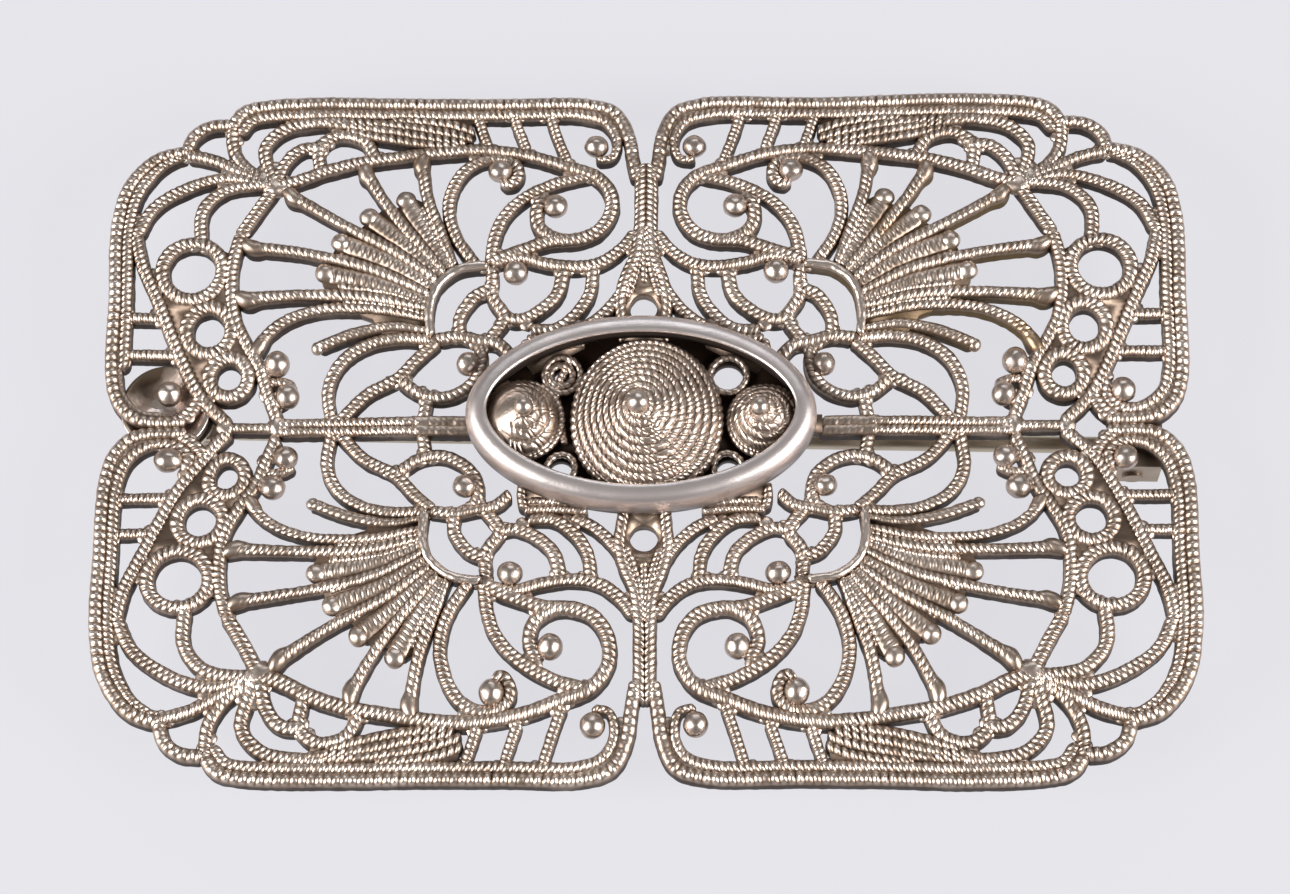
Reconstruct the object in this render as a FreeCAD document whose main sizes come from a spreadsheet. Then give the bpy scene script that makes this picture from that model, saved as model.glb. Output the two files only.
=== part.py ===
import FreeCAD, Part
import Sketcher
import math
import os

# Openwork brooch: four mirrored quarters of beaded wire, an oval bezel with a coiled cone, and a pin.
# Frame: millimetres, +Z up, +X to the right, +Y to the top edge. The brooch lies on its back.
# The origin is under the middle of the brooch, level with the lowest point of the fittings.

Vector = FreeCAD.Vector
UP = Vector(0, 0, 1)

DIMENSIONS = [
    ("half_width", 29.95),
    ("half_height", 19.95),
    ("wire_width", 0.64),
    ("wire_height", 1.2),
    ("thin_wire_width", 0.54),
    ("back_z", 2.9),
    ("base_lift", 0.5),
    ("base_height", 0.9),
    ("web_height", 0.75),
    ("bar_width", 1.06),
    ("stem_width", 1.2),
    ("ring_wire_width", 0.62),
    ("large_ring_hole", 2.7),
    ("medium_ring_hole", 1.84),
    ("small_ring_hole", 1.5),
    ("granule_radius", 0.68),
    ("small_granule_radius", 0.62),
    ("granule_rise", 0.72),
    ("bezel_half_length", 9.65),
    ("bezel_half_breadth", 5.65),
    ("bezel_band", 0.95),
    ("bezel_height", 1.75),
    ("bezel_shift", 0.2),
    ("bezel_bevel", 0.4),
    ("cone_radius", 4.12),
    ("cone_height", 2.55),
    ("cone_edge", 0.75),
    ("cone_turns", 9),
    ("boss_x", 6.55),
    ("boss_radius", 1.98),
    ("boss_height", 2.1),
    ("boss_edge", 0.35),
    ("boss_turns", 4),
    ("apex_radius", 0.7),
    ("boss_apex_radius", 0.5),
    ("loop_x", 4.55),
    ("loop_y", 2.68),
    ("loop_radius", 0.72),
    ("loop_wire_radius", 0.22),
    ("pivot_x", 27.0),
    ("pivot_y", -0.25),
    ("pivot_z", 1.0),
    ("pin_length", 52.9),
    ("pin_radius", 0.475),
    ("pin_tip_radius", 0.1),
    ("pin_taper", 3.2),
    ("pin_yaw", -1.04),
    ("pin_pitch", 0.44),
    ("eye_radius", 0.85),
    ("eye_half_width", 1.3),
    ("rivet_radius", 0.35),
    ("running_gap", 0.04),
    ("cheek_inner", 1.35),
    ("cheek_thickness", 0.4),
    ("hinge_plate", 0.35),
    ("catch_from_pivot", 51.9),
    ("catch_length", 1.4),
    ("catch_radius", 1.3),
    ("catch_bore", 1.02),
    ("catch_mouth", 1.2),
    ("rotor_slot", 1.1),
    ("lever_reach", 2.35),
    ("dish_radius", 2.45),
    ("dish_thickness", 0.35),
    ("dish_depth", 0.2),
]

doc = FreeCAD.newDocument("brooch")
sheet = doc.addObject("Spreadsheet::Sheet", "dims")
for row, (alias, value) in enumerate(DIMENSIONS, start=1):
    sheet.set(f"A{row}", alias)
    sheet.set(f"B{row}", str(value))
    sheet.setAlias(f"B{row}", alias)
doc.recompute()


def dim(alias):
    """A driving dimension, read from the spreadsheet."""
    return float(sheet.get(alias))


# --- flat outlines of the wires -------------------------------------------------------------


def unit(x, y):
    length = math.hypot(x, y)
    return (x / length, y / length)


def chord_tangent(a, b, c):
    """The direction at b of the circle through a, b and c."""
    ab = (b[0] - a[0], b[1] - a[1])
    bc = (c[0] - b[0], c[1] - b[1])
    la = math.hypot(*ab)
    lb = math.hypot(*bc)
    return unit(ab[0] * lb / la + bc[0] * la / lb, ab[1] * lb / la + bc[1] * la / lb)


def mirrored_tangent(start, end, tangent):
    """The direction at one end of an arc, from the direction at its other end."""
    cx, cy = unit(end[0] - start[0], end[1] - start[1])
    along = tangent[0] * cx + tangent[1] * cy
    return (2 * along * cx - tangent[0], 2 * along * cy - tangent[1])


def point_tangents(points):
    if len(points) == 2:
        straight = unit(points[1][0] - points[0][0], points[1][1] - points[0][1])
        return [straight, straight]
    inner = [chord_tangent(*points[i - 1 : i + 2]) for i in range(1, len(points) - 1)]
    first = mirrored_tangent(points[0], points[1], inner[0])
    last = mirrored_tangent(points[-2], points[-1], inner[-1])
    return [first] + inner + [last]


def arc_joint(p, tp, q, tq):
    """Where the two tangent arcs between p and q meet."""
    vx, vy = q[0] - p[0], q[1] - p[1]
    tx, ty = tp[0] + tq[0], tp[1] + tq[1]
    reach = vx * tx + vy * ty
    square = vx * vx + vy * vy
    spread = 2 * (1 - tp[0] * tq[0] - tp[1] * tq[1])
    if spread < 1e-6:
        length = square / (2 * reach)
    else:
        length = (math.sqrt(reach * reach + spread * square) - reach) / spread
    x = (p[0] + q[0] + length * (tp[0] - tq[0])) / 2
    y = (p[1] + q[1] + length * (tp[1] - tq[1])) / 2
    return (x, y)


def arc_chain(points):
    """Tangent arcs through the points, as (start, start direction, end, end direction)."""
    directions = point_tangents(points)
    arcs = []
    for i in range(len(points) - 1):
        p, q = points[i], points[i + 1]
        tp, tq = directions[i], directions[i + 1]
        middle = arc_joint(p, tp, q, tq)
        tm = mirrored_tangent(p, middle, tp)
        arcs.append((p, tp, middle, tm))
        arcs.append((middle, tm, q, tq))
    return arcs


def side_point(point, direction, offset, z):
    return Vector(point[0] - direction[1] * offset, point[1] + direction[0] * offset, z)


def side_edge(arc, offset, z):
    """One arc of the chain moved sideways by offset."""
    start, ts, end, te = arc
    a = side_point(start, ts, offset, z)
    b = side_point(end, te, offset, z)
    turn = ts[0] * te[1] - ts[1] * te[0]
    if abs(turn) < 1e-4:
        return Part.LineSegment(a, b).toShape()
    across = unit(ts[0] + te[0], ts[1] + te[1])
    chord = math.hypot(end[0] - start[0], end[1] - start[1])
    half = math.asin(max(-1.0, min(1.0, (across[0] * te[1] - across[1] * te[0]))))
    bulge = chord / 2 * math.tan(half / 2)
    mx = (start[0] + end[0]) / 2 + across[1] * bulge
    my = (start[1] + end[1]) / 2 - across[0] * bulge
    middle = side_point((mx, my), across, offset, z)
    return Part.Arc(a, middle, b).toShape()


def cap_edge(point, direction, half, z, forward):
    """The round end of a ribbon, from one side to the other."""
    sign = 1 if forward else -1
    a = side_point(point, direction, half * sign, z)
    b = side_point(point, direction, -half * sign, z)
    tip = Vector(point[0] + sign * direction[0] * half, point[1] + sign * direction[1] * half, z)
    return Part.Arc(a, tip, b).toShape()


def ribbon(points, width, z):
    """The flat outline of one wire that runs smoothly through the points, with round ends."""
    half = width / 2
    arcs = arc_chain(points)
    left = [side_edge(arc, half, z) for arc in arcs]
    right = [side_edge(arc, -half, z) for arc in arcs]
    last = cap_edge(arcs[-1][2], arcs[-1][3], half, z, True)
    first = cap_edge(arcs[0][0], arcs[0][1], half, z, False)
    edges = left + [last] + right[::-1] + [first]
    return Part.Face(Part.Wire(Part.__sortEdges__(edges)))


def ring(x, y, hole, width, z):
    """A flat ring around a round hole."""
    outer = Part.Wire(Part.makeCircle(hole / 2 + width, Vector(x, y, z)))
    inner = Part.Wire(Part.makeCircle(hole / 2, Vector(x, y, z)))
    return Part.Face(outer).cut(Part.Face(inner))


def disc(x, y, radius, z):
    return Part.Face(Part.Wire(Part.makeCircle(radius, Vector(x, y, z))))


def panel(points, z):
    """A flat outline with straight sides, facing up."""
    ends = zip(points, points[1:] + points[:1])
    area = sum(a[0] * b[1] - b[0] * a[1] for a, b in ends)
    corners = [Vector(x, y, z) for x, y in (points if area > 0 else points[::-1])]
    return Part.Face(Part.makePolygon(corners + [corners[0]]))


def border_edges(faces):
    """The edges that belong to only one of the faces."""
    uses = {}
    for face in faces:
        for edge in face.Edges:
            uses.setdefault(edge.hashCode(), []).append(edge)
    return [edges[0] for edges in uses.values() if len(edges) == 1]


def merged(shape):
    """The flat faces of a shape, with those that share an edge made into one."""
    wires = [Part.Wire(edges) for edges in Part.sortEdges(border_edges(shape.Faces))]
    return Part.makeFace(wires, "Part::FaceMakerBullseye")


def joined(shapes):
    """Flat outlines joined into as few faces as they make."""
    faces = [face for shape in shapes for face in shape.Faces]
    if len(faces) == 1:
        return faces[0]
    return merged(faces[0].multiFuse(faces[1:]))


def without_crumbs(shape, smallest=0.1):
    """The faces of a shape that are large enough to be a piece of metal."""
    return Part.Compound([face for face in shape.Faces if face.Area > smallest])


# --- the pattern of one quarter, drawn for +X, +Y ------------------------------------------

HUB = (20.9, 14.4)
STEM_TOP = 15.6

OUTER_FRAME = [
    [(0.33, 15.3), (0.85, 16.6), (1.0, 18.1), (1.75, 19.2), (3.2, 19.62)],
    [(3.2, 19.62), (21.4, 19.62)],
    [(21.4, 19.62), (22.9, 19.2), (23.6, 18.3)],
    [(23.5, 18.4), (24.8, 18.25), (25.7, 17.6), (26.05, 16.7)],
    [(25.9, 16.7), (27.7, 16.15), (29.1, 14.5), (29.62, 12.0)],
    [(29.62, 12.0), (29.62, 3.0)],
    [(29.62, 3.0), (29.2, 1.5), (28.3, 0.6), (27.2, 0.34), (25.4, 0.34)],
]
INNER_FRAME = [
    [(2.75, 15.95), (1.85, 16.2), (1.65, 17.4), (2.2, 18.5), (3.5, 18.98)],
    [(3.5, 18.98), (21.3, 18.98)],
    [(21.3, 18.98), (22.4, 18.7), (23.1, 17.9)],
    [(26.0, 16.0), (27.4, 15.5), (28.55, 14.1), (28.98, 12.0)],
    [(28.98, 12.0), (28.98, 3.3)],
    [(28.98, 3.3), (28.5, 1.9), (27.4, 1.05), (26.2, 1.0), (25.5, 1.7), (25.6, 2.5)],
]
FRAME_BARS = [
    [(9.7, 18.9), (9.0, 17.2)],
    [(7.6, 18.9), (6.8, 17.0)],
    [(5.5, 18.9), (4.4, 16.0)],
    [(28.9, 5.8), (26.5, 5.8)],
    [(28.9, 4.35), (25.8, 4.35)],
    [(18.4, 18.55), (14.5, 18.35), (10.9, 17.3)],
    [(15.6, 17.8), (13.4, 17.5), (11.8, 17.0)],
]
CORNER_SCALLOPS = [
    [(26.1, 16.5), (24.5, 16.1), (23.0, 15.4), HUB],
    [(28.6, 11.0), (27.7, 12.9), (25.9, 14.2), (23.6, 14.9), HUB],
    [(24.9, 10.3), (24.9, 12.7), (23.8, 14.0), (22.2, 14.4), HUB],
    [(23.5, 18.3), (23.4, 16.9), (22.7, 15.7), HUB],
    [(18.2, 18.55), (20.5, 18.2), (21.6, 17.0), (21.4, 15.7), HUB],
    [(17.9, 17.0), (19.5, 16.9), (20.4, 16.0), HUB],
    [(18.4, 15.3), (18.5, 17.1), (17.5, 17.9), (16.0, 17.6), (15.2, 16.2)],
    [(22.7, 11.1), HUB],
]
MAIN_ARC = [
    [HUB, (19.8, 14.7), (18.1, 15.4), (16.1, 15.95), (13.8, 16.4), (11.5, 16.85), (9.7, 17.0), (8.0, 16.9)],
    [(8.0, 16.9), (6.3, 16.55), (4.6, 15.85), (2.8, 15.0), (1.95, 13.7), (2.0, 12.3), (2.9, 11.15)],
    [(2.9, 11.15), (4.6, 10.75), (5.85, 11.4), (6.15, 12.5), (5.7, 13.6)],
    [(4.4, 10.75), (5.6, 10.65), (6.6, 10.3), (7.8, 9.85), (8.7, 9.35)],
]
RING_CHAIN = [
    [(28.6, 11.2), (28.2, 9.4), (27.3, 7.3), (26.4, 5.2), (25.6, 3.5)],
    [(25.6, 3.5), (24.9, 2.2), (24.2, 1.3), (22.9, 0.1)],
    [(22.7, 11.1), (23.15, 8.8), (22.95, 6.2), (22.2, 4.7), (21.4, 3.4), (20.9, 2.0), (20.3, 0.4)],
    [(24.6, 1.8), (25.1, 1.0), (25.9, 0.3)],
]
RINGS = [
    (25.34, 8.81, "large_ring_hole"),
    (24.33, 5.44, "medium_ring_hole"),
    (23.13, 2.90, "small_ring_hole"),
]
SCROLL_WIRES = [
    [(3.0, 15.0), (5.1, 14.4), (6.9, 13.4), (8.0, 12.2), (8.5, 10.9), (8.7, 9.3)],
    [(9.4, 9.1), (10.65, 11.1), (11.05, 12.9), (10.75, 14.6), (9.95, 15.8), (8.8, 16.4)],
    [(8.8, 16.4), (7.8, 16.4), (7.05, 15.8), (6.95, 15.0), (7.3, 14.4), (8.1, 14.36)],
    [(8.8, 9.4), (7.2, 9.75), (5.6, 9.35), (4.0, 9.15), (2.6, 9.4), (1.4, 10.2), (0.5, 11.3)],
    [(10.3, 5.1), (10.35, 6.2), (9.6, 7.4), (8.7, 8.0), (8.6, 9.0)],
    [(8.7, 4.9), (7.9, 6.2), (8.5, 7.3), (8.7, 8.0)],
    [(7.9, 6.2), (7.0, 6.1), (6.1, 6.5), (5.1, 7.5), (4.7, 9.1)],
    [(6.4, 5.5), (5.0, 5.6), (4.0, 6.4), (3.3, 7.6), (3.1, 9.2)],
    [(4.0, 5.4), (2.7, 6.2), (1.6, 7.4), (0.9, 8.7), (0.45, 10.0)],
    [(11.7, 5.0), (10.4, 5.15), (9.2, 4.9), (8.2, 4.7), (7.3, 3.9)],
]
LEAF_WIRES = [
    [(17.3, 0.3), (17.5, 2.3), (16.8, 3.8), (15.4, 4.75), (13.6, 5.1), (11.8, 5.0)],
    [(16.9, 0.3), (15.4, 1.9), (13.7, 3.0), (12.6, 4.2), (11.6, 4.95)],
    [(13.7, 3.0), (12.5, 2.15), (11.3, 1.9), (10.1, 2.2), (9.2, 3.0), (9.0, 4.0), (9.3, 4.8)],
    [(12.0, 1.9), (12.3, 0.3)],
]
FAN_RIM = [(8.75, 9.1), (10.3, 8.65), (11.4, 7.6), (11.75, 6.3), (11.6, 5.0)]
FAN_WEB = [
    (10.1, 8.9), (11.3, 11.5), (13.0, 13.3), (15.1, 12.4), (16.5, 10.9),
    (17.4, 9.1), (17.2, 8.2), (15.3, 7.0), (14.6, 5.6), (12.0, 5.1), (11.7, 6.8), (11.0, 8.1),
]
SHORT_RIBS = [
    [(10.75, 8.4), (12.1, 11.0), (13.5, 13.45)],
    [(11.0, 8.1), (13.2, 10.4), (15.5, 12.55)],
    [(11.4, 7.6), (14.1, 9.5), (17.0, 11.0)],
    [(11.7, 7.0), (14.7, 8.4), (17.9, 9.25)],
]
LONG_RAYS = [
    [(10.4, 8.7), (11.5, 11.3), (12.2, 13.4), (12.75, 16.5)],
    [(10.9, 8.3), (13.0, 11.0), (14.6, 13.2), (16.1, 15.8)],
    [(11.2, 7.9), (14.0, 10.2), (17.1, 12.0), (20.6, 14.1)],
    [(11.6, 7.3), (15.0, 9.0), (18.5, 9.8), (22.6, 10.3)],
    [(11.75, 6.7), (15.5, 7.65), (19.0, 7.65), (22.8, 7.35)],
    [(11.8, 6.1), (15.0, 6.75), (18.2, 6.5), (20.4, 5.75), (21.9, 4.6)],
    [(11.7, 5.5), (14.0, 5.75), (16.2, 5.3), (18.3, 4.5)],
]
GRANULES = [
    (2.75, 16.85, "granule_radius"),
    (5.05, 12.84, "granule_radius"),
    (8.0, 15.3, "granule_radius"),
    (7.3, 8.79, "granule_radius"),
    (20.41, 3.6, "granule_radius"),
    (19.775, 1.8, "granule_radius"),
    (9.85, 3.55, "small_granule_radius"),
    (26.35, 1.95, "granule_radius"),
]


def base_outline(z):
    """The openwork plate that carries the cone and the two bosses."""
    loops = [(sx * dim("loop_x"), sy * dim("loop_y")) for sx in (1, -1) for sy in (1, -1)]
    middle = disc(0, 0, dim("cone_radius") + 0.08, z)
    link = panel([(-5.5, -0.9), (5.5, -0.9), (5.5, 0.9), (-5.5, 0.9)], z)
    ends = [disc(side * dim("boss_x"), 0, dim("boss_radius") + 0.15, z) for side in (1, -1)]
    pads = [disc(x, y, dim("loop_radius") + 0.35, z) for x, y in loops]
    arms = []
    for sx in (1, -1):
        arms.append(panel([(sx * 8.3, -0.5), (sx * 9.75, -0.5), (sx * 9.75, 0.5), (sx * 8.3, 0.5)], z))
        for sy in (1, -1):
            corner = [(3.4, 4.5), (6.2, 2.9), (7.0, 3.6), (6.9, 5.5), (5.0, 5.3), (3.3, 5.9)]
            arms.append(panel([(sx * x, sy * y) for x, y in corner], z))
            arms.append(panel([(sx * x, sy * y) for x, y in [(2.2, 2.9), (3.5, 1.9), (6.6, 4.6), (5.2, 5.3)]], z))
    posts = [panel([(-0.7, sy * 3.2), (0.7, sy * 3.2), (0.7, sy * 5.9), (-0.7, sy * 5.9)], z) for sy in (1, -1)]
    shape = joined([middle, link] + ends + pads + arms + posts)
    for x, y in loops:
        shape = shape.cut(disc(x, y, dim("loop_radius") - 0.1, z))
    return shape


def stem_outline(z):
    """The upper stem: a narrow neck that widens to a plate with a round hole."""
    half = dim("stem_width") / 2
    outline = [(-half, STEM_TOP), (half, STEM_TOP), (half, 10.6), (0.95, 8.9), (1.6, 7.6), (1.5, 6.3), (0.9, 5.8)]
    outline += [(-x, y) for x, y in outline[:1:-1]]
    return panel(outline, z).cut(disc(0, 6.8, 0.8, z))


def centre_bar_outline(z):
    """The right centre bar: two wires side by side, then one thin wire to the side."""
    wide = ribbon([(9.9, 0.0), (19.6, 0.0)], dim("bar_width"), z)
    thin = ribbon([(19.0, 0.0), (22.9, 0.0)], dim("thin_wire_width"), z)
    return joined([wide, thin])


def ribbons(paths, width_name, z):
    return joined([ribbon(points, dim(width_name), z) for points in paths])


def ring_chain_outline(z):
    width = dim("ring_wire_width")
    rings = [ring(x, y, dim(hole), width, z) for x, y, hole in RINGS]
    wires = [ribbon(points, width, z) for points in RING_CHAIN]
    shape = joined(rings + wires)
    for x, y, hole in RINGS:
        shape = shape.cut(disc(x, y, dim(hole) / 2, z))
    return shape


def fan_outline(z):
    """The rib rows of the fan, with its smooth inner rim."""
    width = dim("wire_width")
    rows = [ribbon(points, width, z) for points in SHORT_RIBS + [FAN_RIM]]
    web = panel(FAN_WEB, z)
    inner_rays = ribbons(LONG_RAYS, "wire_width", z).common(web)
    return joined(rows + inner_rays.Faces)


def quarter_outlines(z, taken):
    """The flat outline of each kind of piece in one quarter, cut so that no two overlap."""
    quarter = panel([(0, 0), (31, 0), (31, 21), (0, 21)], z)
    drawn = [
        ("outer_frame", ribbons(OUTER_FRAME, "wire_width", z)),
        ("inner_frame", ribbons(INNER_FRAME, "wire_width", z)),
        ("main_arc", ribbons(MAIN_ARC, "wire_width", z)),
        ("ring_chain", ring_chain_outline(z)),
        ("fan_ribs", fan_outline(z)),
        ("fan_web", panel(FAN_WEB, z)),
        ("fan_rays", ribbons(LONG_RAYS, "wire_width", z)),
        ("corner_scallops", ribbons(CORNER_SCALLOPS, "thin_wire_width", z)),
        ("leaf_wires", ribbons(LEAF_WIRES, "thin_wire_width", z)),
        ("scroll_wires", ribbons(SCROLL_WIRES, "thin_wire_width", z)),
        ("frame_bars", ribbons(FRAME_BARS, "thin_wire_width", z)),
    ]
    outlines = {}
    for name, shape in drawn:
        shape = shape.common(quarter)
        for other in taken:
            shape = shape.cut(other)
        outlines[name] = without_crumbs(merged(shape))
        taken = taken + [outlines[name]]
    return outlines


# --- document objects ------------------------------------------------------------------------

nodes = []


def keep(obj):
    """Marks an object as one of the brooch's pieces; its label names its file."""
    obj.Label = obj.Name
    nodes.append(obj)
    return obj


def extrusion(name, faces, height_alias):
    """A piece raised straight up from a flat outline at the back plane."""
    outline = doc.addObject("Part::Feature", name + "_outline")
    outline.Shape = faces
    body = doc.addObject("Part::Extrusion", name)
    body.Base = outline
    body.DirMode = "Custom"
    body.Dir = UP
    body.Solid = True
    body.setExpression("LengthFwd", "dims." + height_alias)
    return body


def mirrored(name, source, normal):
    copy = doc.addObject("Part::Mirroring", name)
    copy.Source = source
    copy.Base = Vector(0, 0, 0)
    copy.Normal = normal
    return keep(copy)


def in_four_quarters(kind, upper_right):
    """Keeps the upper right piece and makes its three mirror images."""
    across = Vector(1, 0, 0)
    upward = Vector(0, 1, 0)
    keep(upper_right)
    upper_left = mirrored("upper_left_" + kind, upper_right, across)
    mirrored("lower_right_" + kind, upper_right, upward)
    mirrored("lower_left_" + kind, upper_left, upward)


def primitive(kind, name, sizes, placement=None):
    """A Part primitive whose sizes are formulas of the sheet's cells."""
    obj = doc.addObject("Part::" + kind, name)
    for prop, formula in sizes.items():
        obj.setExpression(prop, formula)
    if placement is not None:
        obj.Placement = placement
    return obj


def boolean(kind, name, base, tool):
    obj = doc.addObject("Part::" + kind, name)
    obj.Base = base
    obj.Tool = tool
    return obj


def fused(name, shapes):
    obj = doc.addObject("Part::MultiFuse", name)
    obj.Shapes = shapes
    return obj


def at(x, y, z, axis=None, angle=0):
    rotation = FreeCAD.Rotation(axis, angle) if axis else FreeCAD.Rotation()
    return FreeCAD.Placement(Vector(x, y, z), rotation)


def amount(terms):
    return sum(factor * dim(alias) for factor, alias in terms)


def formula(terms):
    return " + ".join(f"{factor} * dims.{alias}" for factor, alias in terms)


def fix_point(sketch, edge, terms, axis_line, direction):
    """Holds the start of an edge at a distance from the sketch's origin along one direction."""
    if not terms:
        sketch.addConstraint(Sketcher.Constraint("PointOnObject", edge, 1, axis_line))
        return
    held = Sketcher.Constraint(direction, -1, 1, edge, 1, amount(terms))
    index = sketch.addConstraint(held)
    sketch.setExpression(f"Constraints[{index}]", formula(terms))


def closed_sketch(body, name, plane, corners):
    """A closed outline of straight edges, each corner held by formulas of the sheet's cells."""
    sketch = body.newObject("Sketcher::SketchObject", name)
    sketch.AttachmentSupport = [(origin_feature(body, plane), "")]
    sketch.MapMode = "FlatFace"
    places = [Vector(amount(x), amount(y), 0) for x, y in corners]
    for i, place in enumerate(places):
        sketch.addGeometry(Part.LineSegment(place, places[(i + 1) % len(places)]), False)
    for i in range(len(places)):
        sketch.addConstraint(Sketcher.Constraint("Coincident", i, 2, (i + 1) % len(places), 1))
    for i, (x, y) in enumerate(corners):
        fix_point(sketch, i, x, -2, "DistanceX")
        fix_point(sketch, i, y, -1, "DistanceY")
    return sketch


def round_sketch(body, name, plane, radius):
    """A circle about the origin."""
    sketch = body.newObject("Sketcher::SketchObject", name)
    sketch.AttachmentSupport = [(origin_feature(body, plane), "")]
    sketch.MapMode = "FlatFace"
    sketch.addGeometry(Part.Circle(Vector(0, 0, 0), UP, amount(radius)), False)
    sketch.addConstraint(Sketcher.Constraint("Coincident", 0, 3, -1, 1))
    index = sketch.addConstraint(Sketcher.Constraint("Radius", 0, amount(radius)))
    sketch.setExpression(f"Constraints[{index}]", formula(radius))
    return sketch


def origin_feature(body, role):
    for feature in body.Origin.OriginFeatures:
        if feature.Role == role:
            return feature
    raise ValueError(role)


def centred_pad(body, name, sketch, length):
    pad = body.newObject("PartDesign::Pad", name)
    pad.Profile = sketch
    pad.SideType = "Symmetric"
    pad.setExpression("Length", formula(length))
    return pad


def centred_pocket(body, name, sketch, length):
    pocket = body.newObject("PartDesign::Pocket", name)
    pocket.Profile = sketch
    pocket.SideType = "Symmetric"
    pocket.setExpression("Length", formula(length))
    return pocket


# --- the plate of wires ----------------------------------------------------------------------


def make_plate():
    z = dim("back_z")
    base = base_outline(z)
    stem = stem_outline(z).cut(base)
    bar = centre_bar_outline(z).cut(base)
    raised_base = base.translated(UP * dim("base_lift"))
    keep(extrusion("centre_base_plate", raised_base, "base_height"))
    upper_stem = keep(extrusion("upper_stem", stem, "wire_height"))
    mirrored("lower_stem", upper_stem, Vector(0, 1, 0))
    right_bar = keep(extrusion("right_centre_bar", bar, "wire_height"))
    mirrored("left_centre_bar", right_bar, Vector(1, 0, 0))
    outlines = quarter_outlines(z, [base, stem, bar])
    ribs = extrusion("fan_ribs", outlines.pop("fan_ribs"), "wire_height")
    web = extrusion("fan_web", outlines.pop("fan_web"), "web_height")
    in_four_quarters("fan_shell", boolean("Fuse", "upper_right_fan_shell", ribs, web))
    for kind, faces in outlines.items():
        in_four_quarters(kind, extrusion("upper_right_" + kind, faces, "wire_height"))
    in_four_quarters("granules", make_granules())


def make_granules():
    """The small balls of one quarter, each sitting in the curl of a wire."""
    balls = []
    for i, (x, y, radius) in enumerate(GRANULES, start=1):
        place = at(x, y, dim("back_z") + dim("granule_rise"))
        balls.append(primitive("Sphere", f"granule_{i}", {"Radius": "dims." + radius}, place))
    group = doc.addObject("Part::Compound", "upper_right_granules")
    group.Links = balls
    return group


# --- the raised centre -----------------------------------------------------------------------


def make_bezel():
    """The plain oval band around the cone, with a bevelled outer top edge."""
    z = base_top_z()
    outer = primitive(
        "Ellipse",
        "bezel_outer_edge",
        {"MajorRadius": "dims.bezel_half_length", "MinorRadius": "dims.bezel_half_breadth"},
        at(0, dim("bezel_shift"), z),
    )
    inner = primitive(
        "Ellipse",
        "bezel_inner_edge",
        {
            "MajorRadius": "dims.bezel_half_length - dims.bezel_band",
            "MinorRadius": "dims.bezel_half_breadth - 1.15 * dims.bezel_band",
        },
        at(0, dim("bezel_shift"), z),
    )
    solids = []
    for name, edge in (("bezel_block", outer), ("bezel_opening", inner)):
        block = doc.addObject("Part::Extrusion", name)
        block.Base = edge
        block.DirMode = "Custom"
        block.Dir = UP
        block.Solid = True
        block.setExpression("LengthFwd", "dims.bezel_height")
        solids.append(block)
    doc.recompute()
    bevelled = doc.addObject("Part::Chamfer", "bezel_bevelled_block")
    bevelled.Base = solids[0]
    bevel = dim("bezel_bevel")
    tops = [
        (i, 1.6 * bevel, bevel)
        for i, edge in enumerate(solids[0].Shape.Edges, start=1)
        if edge.BoundBox.ZMin > z + dim("bezel_height") - 0.01
    ]
    bevelled.Edges = tops
    keep(boolean("Cut", "oval_bezel", bevelled, solids[1]))


def coil_profile(radius, edge, height, top_radius, turns):
    """Half the section of a coiled dome: one round step for each turn of its rope."""
    points = [Vector(radius, 0, 0)]
    for i in range(turns + 1):
        share = i / turns
        r = radius + (top_radius - radius) * share
        points.append(Vector(r, 0, edge + (height - edge) * share ** 0.9 if share else edge))
    edges = []
    for a, b in zip(points, points[1:]):
        middle = (a + b) * 0.5
        across = Vector(b.z - a.z, 0, a.x - b.x).normalize()
        edges.append(Part.Arc(a, middle + across * (0.22 * (b - a).Length), b).toShape())
    top = points[-1]
    edges.append(Part.makeLine(top, Vector(0, 0, top.z)))
    edges.append(Part.makeLine(Vector(0, 0, top.z), Vector(0, 0, 0)))
    edges.append(Part.makeLine(Vector(0, 0, 0), points[0]))
    return Part.Wire(edges)


def make_coil(name, x, z, radius, edge, height, top_radius, turns):
    profile = doc.addObject("Part::Feature", name + "_profile")
    profile.Shape = coil_profile(radius, edge, height, top_radius, turns)
    coil = doc.addObject("Part::Revolution", name)
    coil.Source = profile
    coil.Axis = UP
    coil.Base = Vector(0, 0, 0)
    coil.Angle = 360
    coil.Solid = True
    coil.Placement = at(x, 0, z)
    return keep(coil)


def base_top_z():
    return dim("back_z") + dim("base_lift") + dim("base_height")


def make_centre():
    base_top = base_top_z()
    cone_top = base_top + dim("cone_height")
    turns = int(dim("cone_turns"))
    make_coil("centre_cone", 0, base_top, dim("cone_radius"), dim("cone_edge"), dim("cone_height"), 0.75, turns)
    boss_top = base_top + dim("boss_height")
    turns = int(dim("boss_turns"))
    for side, name in ((-1, "left_boss"), (1, "right_boss")):
        x = side * dim("boss_x")
        make_coil(name, x, base_top, dim("boss_radius"), dim("boss_edge"), dim("boss_height"), 0.5, turns)
    balls = [
        primitive("Sphere", "apex_ball", {"Radius": "dims.apex_radius"}, at(0, 0, cone_top + 0.4)),
        primitive(
            "Sphere", "left_apex_ball", {"Radius": "dims.boss_apex_radius"},
            at(-dim("boss_x"), 0, boss_top + 0.3),
        ),
        primitive(
            "Sphere", "right_apex_ball", {"Radius": "dims.boss_apex_radius"},
            at(dim("boss_x"), 0, boss_top + 0.3),
        ),
    ]
    group = doc.addObject("Part::Compound", "apex_balls")
    group.Links = balls
    keep(group)
    make_loops(base_top)


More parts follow.
